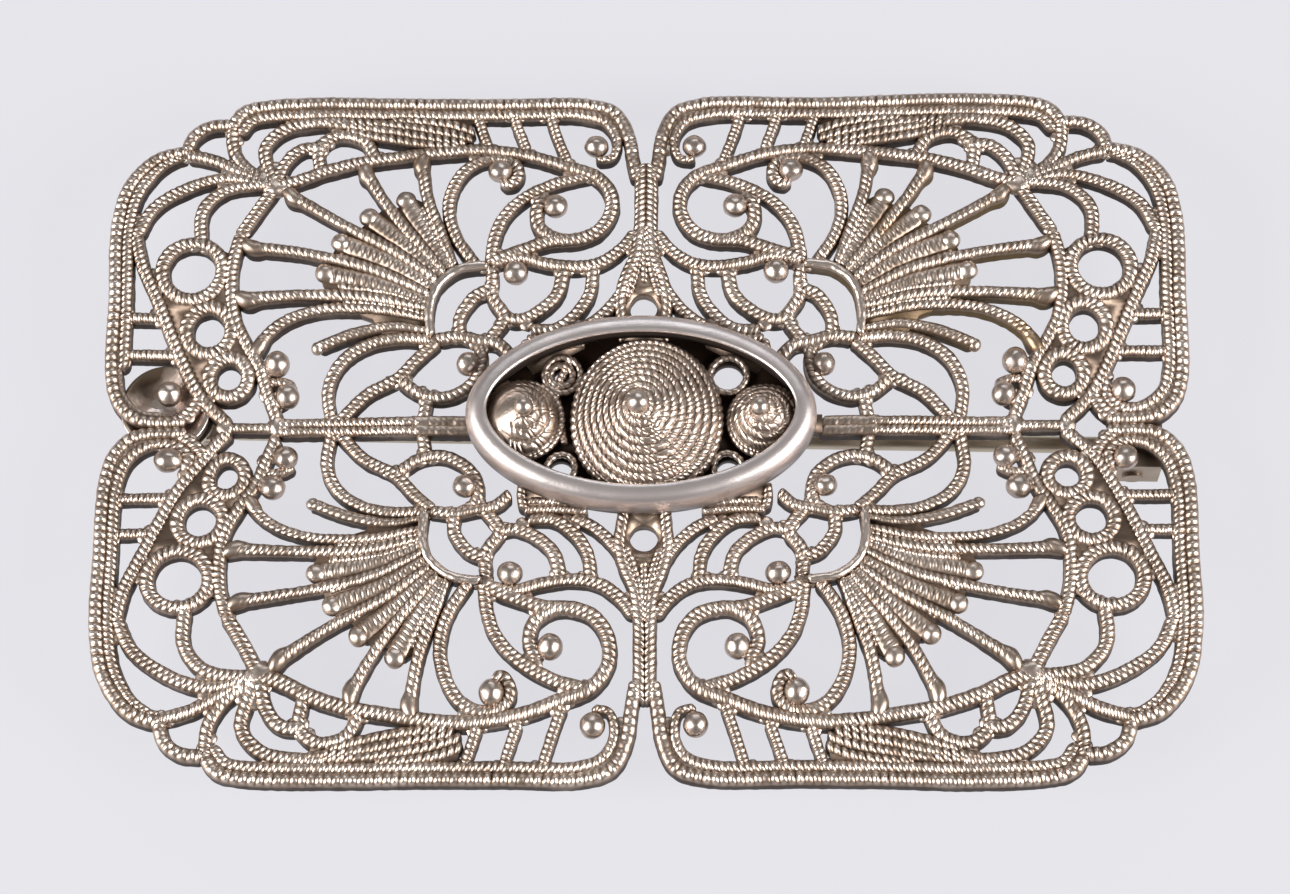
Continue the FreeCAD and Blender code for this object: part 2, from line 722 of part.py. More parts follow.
def make_loops(base_top):
    """The four small wire loops between the cone and the two bosses."""
    loops = []
    for i, (sx, sy) in enumerate([(1, 1), (-1, 1), (1, -1), (-1, -1)], start=1):
        place = at(sx * dim("loop_x"), sy * dim("loop_y"), base_top + dim("loop_wire_radius") - 0.02)
        sizes = {"Radius1": "dims.loop_radius", "Radius2": "dims.loop_wire_radius"}
        loops.append(primitive("Torus", f"loop_{i}", sizes, place))
    group = doc.addObject("Part::Compound", "wire_loops")
    group.Links = loops
    keep(group)


# --- the fittings on the back ----------------------------------------------------------------


def pin_frame(distance=0.0, level=False):
    """A frame on the pin's own line, this far from its pivot towards the tip."""
    pitch = 0 if level else dim("pin_pitch")
    rotation = FreeCAD.Rotation(dim("pin_yaw"), pitch, 0)
    pivot = Vector(dim("pivot_x"), dim("pivot_y"), dim("pivot_z"))
    slope = FreeCAD.Rotation(dim("pin_yaw"), dim("pin_pitch"), 0)
    return FreeCAD.Placement(pivot + slope.multVec(Vector(-distance, 0, 0)), rotation)


def make_pin():
    """The pin stem: a long tapered wire whose end is a drilled eye around the rivet."""
    body = doc.addObject("PartDesign::Body", "pin_stem")
    tip = [(-1, "pin_length")]
    shoulder = [(-1, "pin_length"), (1, "pin_taper")]
    corners = [
        ([], []),
        (tip, []),
        (tip, [(1, "pin_tip_radius")]),
        (shoulder, [(1, "pin_radius")]),
        ([], [(1, "pin_radius")]),
    ]
    sketch = closed_sketch(body, "pin_profile", "XZ_Plane", corners)
    turned = body.newObject("PartDesign::Revolution", "pin_wire")
    turned.Profile = sketch
    turned.ReferenceAxis = (sketch, ["H_Axis"])
    turned.Angle = 360
    eye = round_sketch(body, "eye_circle", "XZ_Plane", [(1, "eye_radius")])
    centred_pad(body, "pin_eye", eye, [(2, "eye_half_width")])
    hole = round_sketch(body, "eye_hole_circle", "XZ_Plane", [(1, "rivet_radius"), (1, "running_gap")])
    centred_pocket(body, "eye_hole", hole, [(4, "eye_half_width")])
    body.Placement = pin_frame()
    return keep(body)


def make_hinge():
    """The folded hinge box under the right end, and the rivet through its two cheeks."""
    depth = dim("back_z") - dim("pivot_z")
    frame = pin_frame(level=True)
    parts = [
        box_on(frame, "hinge_base", (-1.4, 1.5), (-1.9, 1.9), (depth - dim("hinge_plate"), depth)),
        box_on(frame, "hinge_end_wall", (1.15, 1.5), (-1.55, 1.55), (-0.85, depth)),
    ]
    inner = dim("cheek_inner")
    outer = inner + dim("cheek_thickness")
    for side, low, high in (("front", -outer, -inner), ("back", inner, outer)):
        parts.append(box_on(frame, f"hinge_{side}_cheek", (-0.9, 1.5), (low, high), (-dim("pivot_z"), depth)))
    folded = fused("hinge_fold", parts)
    drill = primitive("Cylinder", "rivet_drill", {"Radius": "dims.rivet_radius"})
    drill.Height = 6
    drill.Placement = frame.multiply(at(0, 3, 0, Vector(1, 0, 0), 90))
    keep(boolean("Cut", "hinge_box", folded, drill))
    shank = primitive("Cylinder", "rivet_shank", {"Radius": "dims.rivet_radius"})
    shank.setExpression("Height", "2 * (dims.cheek_inner + dims.cheek_thickness)")
    shank.Placement = frame.multiply(at(0, outer, 0, Vector(1, 0, 0), 90))
    heads = []
    for side, start in (("front", -outer), ("back", outer + 0.2)):
        head = primitive("Cylinder", f"rivet_{side}_head", {"Radius": "1.6 * dims.rivet_radius"})
        head.Height = 0.2
        head.Placement = frame.multiply(at(0, start, 0, Vector(1, 0, 0), 90))
        heads.append(head)
    keep(fused("hinge_rivet", [shank] + heads))


def box_on(frame, name, x, y, z):
    """A box between the given limits along a frame's own axes."""
    obj = doc.addObject("Part::Box", name)
    obj.Length = x[1] - x[0]
    obj.Width = y[1] - y[0]
    obj.Height = z[1] - z[0]
    obj.Placement = frame.multiply(at(x[0], y[0], z[0]))
    return obj


def rod_on(frame, name, radius, start, length):
    """A cylinder along a frame's own X axis."""
    obj = primitive("Cylinder", name, {"Radius": radius})
    obj.Height = length
    obj.Placement = frame.multiply(at(start, 0, 0, Vector(0, 1, 0), 90))
    return obj


def make_catch():
    """The catch: a dished disc soldered to the back, with an open collar below it."""
    frame = pin_frame(dim("catch_from_pivot"))
    length = dim("catch_length")
    half = length / 2
    plate = make_dish(frame.Base.x - 1.45, frame.Base.y + 0.55)
    collar = rod_on(frame, "catch_collar", "dims.catch_radius", -half, length)
    saddle = box_on(frame, "catch_saddle", (-half, half), (-0.9, 0.9), (0.6, 1.2))
    solid = fused("catch_solid", [plate, collar, saddle])
    bore = rod_on(frame, "catch_bore_tool", "dims.catch_bore", -half - 0.3, length + 0.6)
    mouth_half = dim("catch_mouth") / 2
    mouth = box_on(frame, "catch_mouth_tool", (-half - 0.3, half + 0.3), (-mouth_half, mouth_half), (-2.0, 0.0))
    opening = fused("catch_opening", [bore, mouth])
    keep(boolean("Cut", "catch_base", solid, opening))
    make_rotor(frame, half)


def make_dish(x, y):
    """A shallow round dish, hollow side up, with its rim against the back of the wires."""
    radius = dim("dish_radius")
    depth = dim("dish_depth")
    ball_radius = (radius * radius + depth * depth) / (2 * depth)
    block = primitive(
        "Cylinder",
        "catch_disc",
        {"Radius": "dims.dish_radius", "Height": "dims.dish_thickness"},
        at(x, y, dim("back_z") - dim("dish_thickness")),
    )
    ball = doc.addObject("Part::Sphere", "dish_tool")
    ball.Radius = ball_radius
    ball.Placement = at(x, y, dim("back_z") - depth + ball_radius)
    return boolean("Cut", "catch_dish", block, ball)


def make_rotor(frame, half):
    """The slotted safety barrel that turns in the collar, with its thumb lever."""
    barrel = rod_on(frame, "rotor_barrel", "dims.catch_bore - dims.running_gap", -half, 2 * half + 0.05)
    flange = rod_on(frame, "rotor_flange", "dims.catch_bore + 0.08", half + 0.05, 0.45)
    reach = dim("lever_reach")
    arm = box_on(frame, "rotor_arm", (half + 0.05, half + 0.5), (0.0, reach - 0.4), (-0.4, 0.4))
    thumb = rod_on(frame, "rotor_thumb", "0.4", half + 0.05, 0.45)
    thumb.Placement = frame.multiply(at(half + 0.05, reach - 0.4, 0, Vector(0, 1, 0), 90))
    solid = fused("rotor_solid", [barrel, flange, arm, thumb])
    slot_half = dim("rotor_slot") / 2
    core = rod_on(frame, "rotor_core_tool", "dims.rotor_slot / 2", -half - 0.3, 2 * half + 1.2)
    slot = box_on(frame, "rotor_slot_tool", (-half - 0.3, half + 0.9), (-slot_half, slot_half), (-2.0, 0.0))
    keep(boolean("Cut", "catch_rotor", solid, fused("rotor_opening", [core, slot])))


# --- building and writing --------------------------------------------------------------------


def check_document():
    for obj in doc.Objects:
        bad = [state for state in obj.State if state in ("Invalid", "Error")]
        if bad:
            raise RuntimeError(f"{obj.Name}: {bad} {obj.getStatusString()}")
    for obj in nodes:
        if obj.Shape.isNull() or not obj.Shape.isValid() or not obj.Shape.Solids:
            raise RuntimeError(f"{obj.Name}: bad shape")


def write_parts():
    os.makedirs("parts", exist_ok=True)
    for obj in nodes:
        shape = obj.Shape
        shape.exportStep(os.path.join("parts", obj.Label + ".step"))
        box = shape.optimalBoundingBox()
        print(f"{obj.Label}: {len(shape.Solids)} solids, {shape.Volume:.2f} mm3,", end=" ")
        print(f"x {box.XMin:.2f}..{box.XMax:.2f} y {box.YMin:.2f}..{box.YMax:.2f} z {box.ZMin:.2f}..{box.ZMax:.2f}")


make_plate()
make_bezel()
make_centre()
make_pin()
make_hinge()
make_catch()
doc.recompute()
check_document()
write_parts()
print(len(nodes), "pieces")
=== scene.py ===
import math

import bpy
from mathutils import Matrix, Vector, kdtree, noise
from mathutils.geometry import tessellate_polygon


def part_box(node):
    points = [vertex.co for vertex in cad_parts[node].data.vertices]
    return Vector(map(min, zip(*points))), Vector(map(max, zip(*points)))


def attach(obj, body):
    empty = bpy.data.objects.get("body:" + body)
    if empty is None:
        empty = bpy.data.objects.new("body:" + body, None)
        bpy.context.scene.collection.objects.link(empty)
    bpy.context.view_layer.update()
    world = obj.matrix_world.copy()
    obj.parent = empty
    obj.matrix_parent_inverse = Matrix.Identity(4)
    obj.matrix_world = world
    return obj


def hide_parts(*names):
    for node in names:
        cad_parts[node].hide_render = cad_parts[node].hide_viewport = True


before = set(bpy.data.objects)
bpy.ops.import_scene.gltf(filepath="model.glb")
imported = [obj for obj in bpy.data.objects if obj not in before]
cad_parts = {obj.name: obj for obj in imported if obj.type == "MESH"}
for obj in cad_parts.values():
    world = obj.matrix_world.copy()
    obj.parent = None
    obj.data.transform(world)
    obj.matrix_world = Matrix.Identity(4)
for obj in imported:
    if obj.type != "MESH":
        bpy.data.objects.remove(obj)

# Lengths are written in millimetres and turned into metres when a mesh is made.
MM = 0.001
# Without a fixed seed noise_vector follows the clock, and the wires would stray differently each time.
noise.seed_set(7)
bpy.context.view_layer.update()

# Heights of the openwork's back and of the base plate's two faces, from the CAD.
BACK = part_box("upper_stem")[0].z / MM
BASE_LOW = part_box("centre_base_plate")[0].z / MM
BASE_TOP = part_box("centre_base_plate")[1].z / MM
ROOT = "brooch"
QUARTERS = {
    "upper_right": (1, 1),
    "upper_left": (-1, 1),
    "lower_right": (1, -1),
    "lower_left": (-1, -1),
}


# --- the pattern of one quarter, as smooth lines through a few points, for +X, +Y -------------

HUB = (20.9, 14.4)

OUTER_FRAME = [
    [(0.45, 14.6), (0.7, 16.0), (0.95, 17.6), (1.7, 19.1), (3.2, 19.62), (8.0, 19.62), (21.4, 19.62),
     (22.9, 19.2), (23.6, 18.2)],
    [(23.5, 18.4), (24.8, 18.25), (25.7, 17.6), (26.05, 16.6)],
    [(25.9, 16.7), (27.7, 16.15), (29.1, 14.5), (29.62, 12.0), (29.62, 7.5), (29.62, 3.0), (29.2, 1.5),
     (28.3, 0.6), (27.2, 0.34), (25.4, 0.34)],
]
INNER_FRAME = [
    [(2.75, 15.95), (1.85, 16.2), (1.62, 17.4), (2.2, 18.5), (3.5, 18.98), (8.0, 18.98), (21.3, 18.98),
     (22.4, 18.7), (23.1, 17.8)],
    [(26.35, 16.3), (27.5, 15.6), (28.55, 14.1), (28.98, 12.0), (28.98, 7.5), (28.98, 3.3), (28.5, 1.9),
     (27.4, 1.05), (26.2, 0.98), (25.45, 1.7), (25.6, 2.6)],
]
FRAME_BED = [
    [(1.2, 17.4), (1.9, 18.8), (3.3, 19.3), (8.0, 19.3), (21.3, 19.3), (22.7, 18.9), (23.4, 18.0)],
    [(26.1, 16.35), (27.6, 15.8), (28.8, 14.3), (29.3, 12.0), (29.3, 7.5), (29.3, 3.2), (28.9, 1.7),
     (27.9, 0.8), (26.6, 0.65)],
]
FRAME_BARS = [
    [(9.6, 18.9), (9.3, 18.0), (8.9, 16.8)],
    [(7.5, 18.9), (7.2, 18.0), (6.7, 16.6)],
    [(5.4, 18.9), (5.0, 17.6), (4.3, 15.7)],
    [(28.9, 6.2), (26.6, 6.1)],
    [(28.9, 4.15), (25.6, 4.1)],
]
BUNDLE = [
    [(9.7, 17.9), (10.9, 18.35), (12.6, 18.65), (14.4, 18.7)],
    [(9.8, 17.45), (11.6, 17.95), (14.2, 18.4), (17.6, 18.6)],
    [(10.2, 17.2), (12.4, 17.6), (15.0, 18.1), (18.2, 18.5)],
    [(10.6, 17.0), (12.8, 17.2), (15.0, 17.6), (17.0, 18.1)],
]
BUNDLE_BED = [
    (10.3, 17.0), (12.8, 17.1), (15.0, 17.5), (16.6, 18.0), (17.8, 18.5), (17.8, 18.8), (10.0, 18.8),
    (9.8, 17.8),
]
CORNER_SCALLOPS = [
    [(26.1, 16.5), (24.5, 16.1), (23.0, 15.4), HUB],
    [(28.6, 11.0), (27.7, 12.9), (25.9, 14.2), (23.6, 14.9), HUB],
    [(24.9, 10.3), (24.9, 12.7), (23.8, 14.0), (22.2, 14.4), HUB],
    [(23.5, 18.3), (23.4, 16.9), (22.7, 15.7), HUB],
    [(16.9, 18.62), (18.6, 18.6), (20.5, 18.2), (21.6, 17.0), (21.4, 15.7), HUB],
    [(18.2, 17.0), (19.5, 16.9), (20.4, 16.0), HUB],
    [(18.4, 15.3), (18.5, 17.0), (17.5, 17.75), (16.0, 17.4), (15.2, 16.1)],
    [(22.7, 11.1), HUB],
]
MAIN_ARC = [
    [HUB, (19.8, 14.7), (18.1, 15.4), (16.1, 15.95), (13.8, 16.3), (11.5, 16.6), (9.7, 16.7), (8.0, 16.55),
     (6.3, 16.2), (4.6, 15.6), (2.8, 14.9), (1.95, 13.7), (2.0, 12.3), (2.9, 11.15), (4.6, 10.75),
     (5.85, 11.4), (6.15, 12.5), (5.7, 13.5)],
    [(4.4, 10.75), (5.6, 10.65), (6.6, 10.3), (7.8, 9.85), (8.7, 9.35)],
]
RING_CHAIN = [
    [(28.6, 11.2), (28.2, 9.4), (27.3, 7.3), (26.4, 5.2), (25.6, 3.5), (24.9, 2.2), (24.2, 1.3), (22.9, 0.1)],
    [(22.7, 11.1), (23.15, 8.8), (22.95, 6.2), (22.2, 4.7), (21.4, 3.4), (20.9, 2.0), (20.3, 0.4)],
    [(24.6, 1.8), (25.1, 1.0), (25.9, 0.3)],
    [(21.6, 3.3), (21.0, 3.3), (20.5, 3.5)],
    [(21.0, 1.5), (20.4, 1.5), (19.9, 1.75)],
]
BALL_HOOK = [(21.0, 2.5), (20.5, 2.65), (19.9, 2.6), (19.3, 2.3)]
CHAIN_WEB = [
    (23.3, 9.8), (23.15, 8.0), (22.95, 6.3), (22.2, 4.7), (21.6, 3.4), (21.9, 2.3), (22.6, 1.8), (23.6, 1.85),
    (24.4, 1.9), (25.2, 3.2), (26.1, 5.0), (26.9, 6.7), (27.15, 8.2), (27.0, 9.6), (26.2, 10.5), (24.6, 10.5),
]
# Middle of each ring and the radius of its hole.
RINGS = [(25.34, 8.81, 1.35), (24.33, 5.44, 0.92), (23.13, 2.90, 0.75)]
SCROLL_WIRES = [
    [(3.0, 15.0), (5.1, 14.4), (6.9, 13.4), (8.0, 12.2), (8.5, 10.9), (8.7, 9.3)],
    [(9.4, 9.1), (10.65, 11.1), (11.05, 12.9), (10.75, 14.4), (10.05, 15.5), (9.1, 16.05), (8.1, 16.1),
     (7.35, 15.65), (7.2, 15.0), (7.5, 14.45), (8.2, 14.35)],
    [(8.8, 9.4), (7.2, 9.75), (5.6, 9.35), (4.0, 9.15), (2.6, 9.4), (1.4, 10.2), (0.5, 11.3)],
    [(10.3, 5.1), (10.35, 6.2), (9.6, 7.4), (8.7, 8.0), (8.6, 9.0)],
    [(8.7, 4.9), (7.9, 6.2), (8.5, 7.3), (8.7, 8.0)],
    [(7.9, 6.2), (7.0, 6.1), (6.1, 6.5), (5.1, 7.5), (4.7, 9.1)],
    [(6.4, 5.5), (5.0, 5.6), (4.0, 6.4), (3.3, 7.6), (3.1, 9.2)],
    [(4.0, 5.4), (2.7, 6.2), (1.6, 7.4), (0.9, 8.7), (0.45, 10.0)],
    [(11.7, 5.0), (10.4, 5.15), (9.2, 4.9), (8.2, 4.7), (7.3, 3.9)],
]
LEAF_WIRES = [
    [(17.3, 0.3), (17.5, 2.3), (16.8, 3.8), (15.4, 4.75), (13.6, 5.1), (11.8, 5.0)],
    [(16.9, 0.3), (15.4, 1.9), (13.7, 2.85), (12.6, 4.0), (11.6, 4.9)],
    [(13.7, 2.85), (12.5, 1.95), (11.3, 1.7), (10.2, 2.05), (9.35, 2.85), (9.1, 3.9), (9.35, 4.75)],
    [(12.0, 1.9), (12.3, 0.3)],
]
FAN_RIM = [(8.85, 9.25), (10.5, 8.95), (11.65, 7.95), (12.05, 6.5), (11.95, 5.1)]
FAN_WEB = [
    (10.3, 8.95), (11.2, 11.2), (11.8, 12.8), (12.8, 13.4), (13.9, 12.9), (14.8, 12.7), (15.9, 11.6),
    (16.7, 11.4), (17.4, 10.2), (17.7, 9.4), (18.1, 8.3), (17.4, 6.95), (15.2, 6.2), (14.9, 5.6),
    (14.3, 5.05), (12.05, 5.15), (12.1, 6.6), (11.7, 7.9),
]
SHORT_RIBS = [
    [(10.95, 9.0), (12.1, 11.0), (13.45, 13.4)],
    [(11.4, 8.6), (13.2, 10.4), (15.5, 12.3)],
    [(11.85, 7.95), (14.1, 9.4), (17.05, 10.65)],
    [(12.1, 7.1), (14.7, 8.1), (17.9, 8.75)],
]
BETWEEN_RIBS = [
    [(10.8, 9.1), (11.7, 10.9), (12.6, 12.9)],
    [(11.3, 8.7), (12.6, 10.5), (14.1, 12.6)],
    [(11.7, 8.2), (13.6, 9.8), (15.9, 11.4)],
    [(12.0, 7.4), (14.3, 8.7), (17.2, 9.8)],
    [(12.15, 6.9), (14.5, 7.7), (17.2, 8.0)],
    [(12.2, 6.4), (14.6, 7.0), (16.9, 7.1)],
]
LONG_RAYS = [
    [(10.65, 9.15), (11.5, 11.3), (12.2, 13.4), (12.75, 16.6)],
    [(11.15, 8.8), (13.0, 11.0), (14.6, 13.2), (16.15, 15.85)],
    [(11.6, 8.35), (14.0, 10.1), (17.1, 11.85), (20.5, 14.0)],
    [(12.0, 7.55), (15.0, 8.95), (18.5, 9.8), (22.75, 10.3)],
    [(12.15, 6.75), (15.5, 7.4), (19.0, 7.4), (23.0, 7.05)],
    [(12.2, 6.15), (15.0, 6.7), (18.2, 6.6), (20.2, 5.85), (21.3, 4.9), (21.75, 3.9)],
    [(12.15, 5.5), (14.0, 5.75), (16.2, 5.35), (18.2, 4.55)],
]
# Middle and radius of each ball.
GRANULES = [
    (2.75, 16.85, 0.68), (5.05, 12.84, 0.7), (8.2, 15.2, 0.7), (7.3, 8.79, 0.68),
    (20.41, 3.6, 0.71), (19.775, 1.8, 0.68), (9.85, 3.55, 0.66), (26.35, 1.95, 0.7),
]


# --- meshes ------------------------------------------------------------------------------------


class Shape:
    """Points, faces and a wear value for each point: 0 deep in a groove, 1 on a rubbed crest. On some pieces
    the value also carries painted shade or a painted highlight.
    """

    def __init__(self):
        self.points = []
        self.faces = []
        self.wear_and_painted_light = []

    def add(self, point, wear_and_painted_light):
        self.points.append(point)
        self.wear_and_painted_light.append(wear_and_painted_light)
        return len(self.points) - 1

    def join(self, other):
        shift = len(self.points)
        self.points += other.points
        self.wear_and_painted_light += other.wear_and_painted_light
        self.faces += [tuple(i + shift for i in face) for face in other.faces]

    def flipped(self, sx, sy):
        """The mirror image for another quarter, pulled a little out of shape as the real ones are."""
        copy = Shape()
        copy.points = [mirrored_point(x, y, z, sx, sy) for x, y, z in self.points]
        copy.wear_and_painted_light = list(self.wear_and_painted_light)
        copy.faces = [face[::-1] for face in self.faces] if sx * sy < 0 else list(self.faces)
        return copy


HALF_WIDTH = 19.6
CUSHION = 0.55
SWAY = 0.09
GRIT = 0.03
GRIT_UP = 0.035
LIFT = 0.06


def cushion(y):
    """0 at the bar in the middle and at the long edge, and 1 halfway between them."""
    return math.sin(math.pi * min(1.0, abs(y) / HALF_WIDTH)) ** 2


def hump(x, y, at, along, across):
    """1 at a place, falling smoothly to 0 around it."""
    return math.exp(-((x - at[0]) ** 2) / along - (y - at[1]) ** 2 / across)


def mirrored_point(x, y, z, sx, sy):
    """The lower long edge bows outward, and some wires of a quarter sit a little aside."""
    edge = max(0.0, min(1.0, (y - 12.5) / 7.0))
    edge = edge * edge * (3 - 2 * edge)
    shift = 0.3 * edge if sy < 0 else -0.12 * edge
    shift += 0.17 * sy * cushion(y)
    shift += 0.25 * hump(x, y, (24.5, 8.5), 40.0, 16.0)
    x -= 0.2 * hump(x, y, (3.5, 8.0), 8.0, 8.0)
    if sy < 0:
        near = hump(x, y, (19.0, 12.0), 14.0, 14.0)
        shift -= 0.14 * near
        x -= 0.24 * near
    if sx < 0 and sy < 0:
        x -= 0.38 * hump(x, y, (24.6, 1.9), 2.2, 2.2)
    return (x * sx, (y + shift) * sy, z)


def uneven(x, y, z):
    """Hand work: every point strays a little, smoothly, and each quarter bulges up in its middle."""
    sway = noise.noise_vector(Vector((x * 0.16, y * 0.16, 3.7)))
    grit = noise.noise_vector(Vector((x * 2.6, y * 2.6, z * 2.6)))
    lift = noise.noise(Vector((x * 0.35, y * 0.35, 9.1)))
    rise = max(0.0, min(1.0, (z - BACK) / 1.2))
    px = x + sway.x * SWAY + grit.x * GRIT
    py = y + sway.y * SWAY + grit.y * GRIT
    return (px, py, z + (lift * LIFT + grit.z * GRIT_UP) * rise + CUSHION * cushion(y))


def make_piece(name, shape, material, node, body=ROOT, stray=True):
    """A mesh object that stands for a CAD node, if one is given, and moves with its body."""
    points = [uneven(*p) for p in shape.points] if stray else shape.points
    mesh = bpy.data.meshes.new(name)
    mesh.from_pydata([(x * MM, y * MM, z * MM) for x, y, z in points], [], shape.faces)
    wear_and_painted_light = mesh.attributes.new("wear_and_painted_light", "FLOAT", "POINT")
    wear_and_painted_light.data.foreach_set("value", shape.wear_and_painted_light)
    mesh.materials.append(material)
    for polygon in mesh.polygons:
        polygon.use_smooth = True
    mesh.update()
    obj = bpy.data.objects.new(name, mesh)
    bpy.context.scene.collection.objects.link(obj)
    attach(obj, body)
    if node:
        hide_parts(node)
    return obj


# --- lines -------------------------------------------------------------------------------------


STRAIGHT_STEPS = 20


def curve_points(points, per_span=14, closed=False):
    """Points along a smooth line through the given points (centripetal Catmull-Rom)."""
    if len(points) == 2 and not closed:
        a, b = points
        shares = [i / STRAIGHT_STEPS for i in range(STRAIGHT_STEPS + 1)]
        return [(a[0] + (b[0] - a[0]) * share, a[1] + (b[1] - a[1]) * share) for share in shares]
    pts = [Vector(p) for p in points]
    if closed:
        pts = [pts[-1]] + pts + [pts[0], pts[1]]
    else:
        pts = [pts[0] * 2 - pts[1]] + pts + [pts[-1] * 2 - pts[-2]]
    line = []
    for i in range(len(pts) - 3):
        p0, p1, p2, p3 = pts[i : i + 4]
        t1 = (p1 - p0).length ** 0.5
        t2 = t1 + (p2 - p1).length ** 0.5
        t3 = t2 + (p3 - p2).length ** 0.5
        count = max(per_span, int((p2 - p1).length * 6))
        for j in range(count):
            t = t1 + (t2 - t1) * j / count
            a1 = p0 * ((t1 - t) / t1) + p1 * (t / t1)
            a2 = p1 * ((t2 - t) / (t2 - t1)) + p2 * ((t - t1) / (t2 - t1))
            a3 = p2 * ((t3 - t) / (t3 - t2)) + p3 * ((t - t2) / (t3 - t2))
            b1 = a1 * ((t2 - t) / t2) + a2 * (t / t2)
            b2 = a2 * ((t3 - t) / (t3 - t1)) + a3 * ((t - t1) / (t3 - t1))
            c = b1 * ((t2 - t) / (t2 - t1)) + b2 * ((t - t1) / (t2 - t1))
            line.append((c.x, c.y))
    if not closed:
        line.append((pts[-2].x, pts[-2].y))
    return line


def even_steps(line, step):
    """The line again with evenly spaced points: (x, y, direction x, direction y, distance)."""
    lengths = [0.0]
    for a, b in zip(line, line[1:]):
        lengths.append(lengths[-1] + math.hypot(b[0] - a[0], b[1] - a[1]))
    total = lengths[-1]
    count = max(4, round(total / step))
    result = []
    k = 0
    for i in range(count + 1):
        s = total * i / count
        while k < len(lengths) - 2 and lengths[k + 1] < s:
            k += 1
        span = lengths[k + 1] - lengths[k]
        f = (s - lengths[k]) / span if span else 0.0
        a, b = line[k], line[k + 1]
        result.append([a[0] + (b[0] - a[0]) * f, a[1] + (b[1] - a[1]) * f, 0.0, 0.0, s])
    for i, row in enumerate(result):
        before = result[max(0, i - 1)]
        after = result[min(count, i + 1)]
        dx, dy = after[0] - before[0], after[1] - before[1]
        length = math.hypot(dx, dy) or 1.0
        row[2], row[3] = dx / length, dy / length
    return result


# --- wires -------------------------------------------------------------------------------------

# The rise of one bead of a wire, step by step along it.
BEAD = [-1.0, -0.05, 0.7, 0.95, 0.7, -0.05]
ARC_POINTS = 9
KNOB_NECK = 0.9
KNOB_LENGTH = 1.3


def wire_section(half, height, ridge, rounding, crest):
    """The outline of a wire from its left foot over the top to its right foot.

    Each entry is (sideways, up, wear). ridge lifts or lowers the rounded top; crest keeps
    the ridges to a narrow line along the middle.
    """
    crown = half * rounding
    shoulder = height - crown
    flank = half + (0.0 if crest else ridge * 0.1)
    section = [(-half * 0.96, 0.0, 0.0), (-half * 1.06, 0.12, 0.03), (-flank, shoulder * 0.8, 0.14)]
    for i in range(ARC_POINTS):
        angle = math.pi * (1 - (i + 0.35) / (ARC_POINTS - 0.3))
        rise = max(0.0, math.sin(angle))
        lift = ridge * (rise ** 12 if crest else 0.05 + 1.05 * rise ** 2.2)
        wear_and_painted_light = 0.28 + 0.36 * rise ** 0.8 + 3.6 * lift
        section.append((math.cos(angle) * (half + lift), shoulder + math.sin(angle) * (crown + lift), wear_and_painted_light))
    section += [(flank, shoulder * 0.8, 0.14), (half * 1.06, 0.12, 0.03), (half * 0.96, 0.0, 0.0)]
    return section


def along_list(values, share):
    """A value read off a short list that is spread evenly along a line."""
    place = share * (len(values) - 1)
    k = min(int(place), len(values) - 2)
    return values[k] + (values[k + 1] - values[k]) * (place - k)


def wire(points, width=0.62, height=1.2, pitch=0.34, ridge=0.07, slant=0.35, taper=(1.0, 1.0),
         knobs=(False, False), closed=False, foot=0.0, rounding=0.95, crest=False, shine=0.0):
    """A wire with cross ridges along its rounded top, lying on the back plane.

    taper is a list of shares of the width from one end to the other, and knobs says which
    ends swell into a smooth knob. foot lifts the wire, and shine adds to its wear value: where positive it is
    a painted highlight that lightens the wire, where negative it darkens it.
    """
    shape = Shape()
    line = curve_points(points, closed=closed)
    if closed:
        line.append(line[0])
    steps = even_steps(line, pitch / len(BEAD))
    total = steps[-1][4]
    if closed:
        steps = steps[:-1]
    rings = []
    for i, (x, y, tx, ty, s) in enumerate(steps):
        left = total - s
        share = s / total
        half = width / 2 * along_list(taper, share)
        worn = 0.85 + 0.6 * noise.noise(Vector((x * 0.5, y * 0.5, 1.3)))
        own = 1.0 + 0.75 * noise.noise(Vector((i // len(BEAD) * 1.37, points[0][0], points[0][1])))
        lift = ridge * BEAD[i % len(BEAD)] * worn * own
        lift += 0.018 * noise.noise(Vector((x * 2.3, y * 2.3, 5.5)))
        tall = height
        swell = 1.0
        if not closed:
            for end, distance in ((0, s), (1, left)):
                if knobs[end] and distance < KNOB_LENGTH:
                    lift *= max(0.0, (distance - KNOB_NECK) / (KNOB_LENGTH - KNOB_NECK))
                    bulge = math.sin(math.pi * min(1.0, distance / KNOB_LENGTH)) ** 1.5
                    swell = max(swell, 1.0 + 0.28 * bulge)
                    tall += 0.1 * bulge
                close = half * (1.15 if knobs[end] else 0.8)
                if distance < close:
                    rest = 1 - distance / close
                    swell *= math.sqrt(max(0.02, 1 - rest * rest))
                    tall -= half * (1 - math.sqrt(max(0.0, 1 - rest * rest)))
        section = wire_section(half * swell, tall, lift, rounding, crest)
        ring = []
        for side, up, wear_and_painted_light in section:
            shift = side * slant
            px = x - ty * side + tx * shift
            py = y + tx * side + ty * shift
            ring.append(shape.add((px, py, BACK + foot + up), wear_and_painted_light + (shine if wear_and_painted_light > 0.2 else 0.0)))
        rings.append(ring)
    connect(shape, rings, closed)
    return shape


def connect(shape, rings, closed, caps=True):
    """Quads between neighbouring rings, each ring closed on itself, with end faces if open."""
    count = len(rings[0])
    pairs = list(zip(rings, rings[1:]))
    if closed:
        pairs.append((rings[-1], rings[0]))
    for a, b in pairs:
        for k in range(count):
            n = (k + 1) % count
            shape.faces.append((a[k], b[k], b[n], a[n]))
    if caps and not closed:
        shape.faces.append(tuple(rings[0]))
        shape.faces.append(tuple(reversed(rings[-1])))


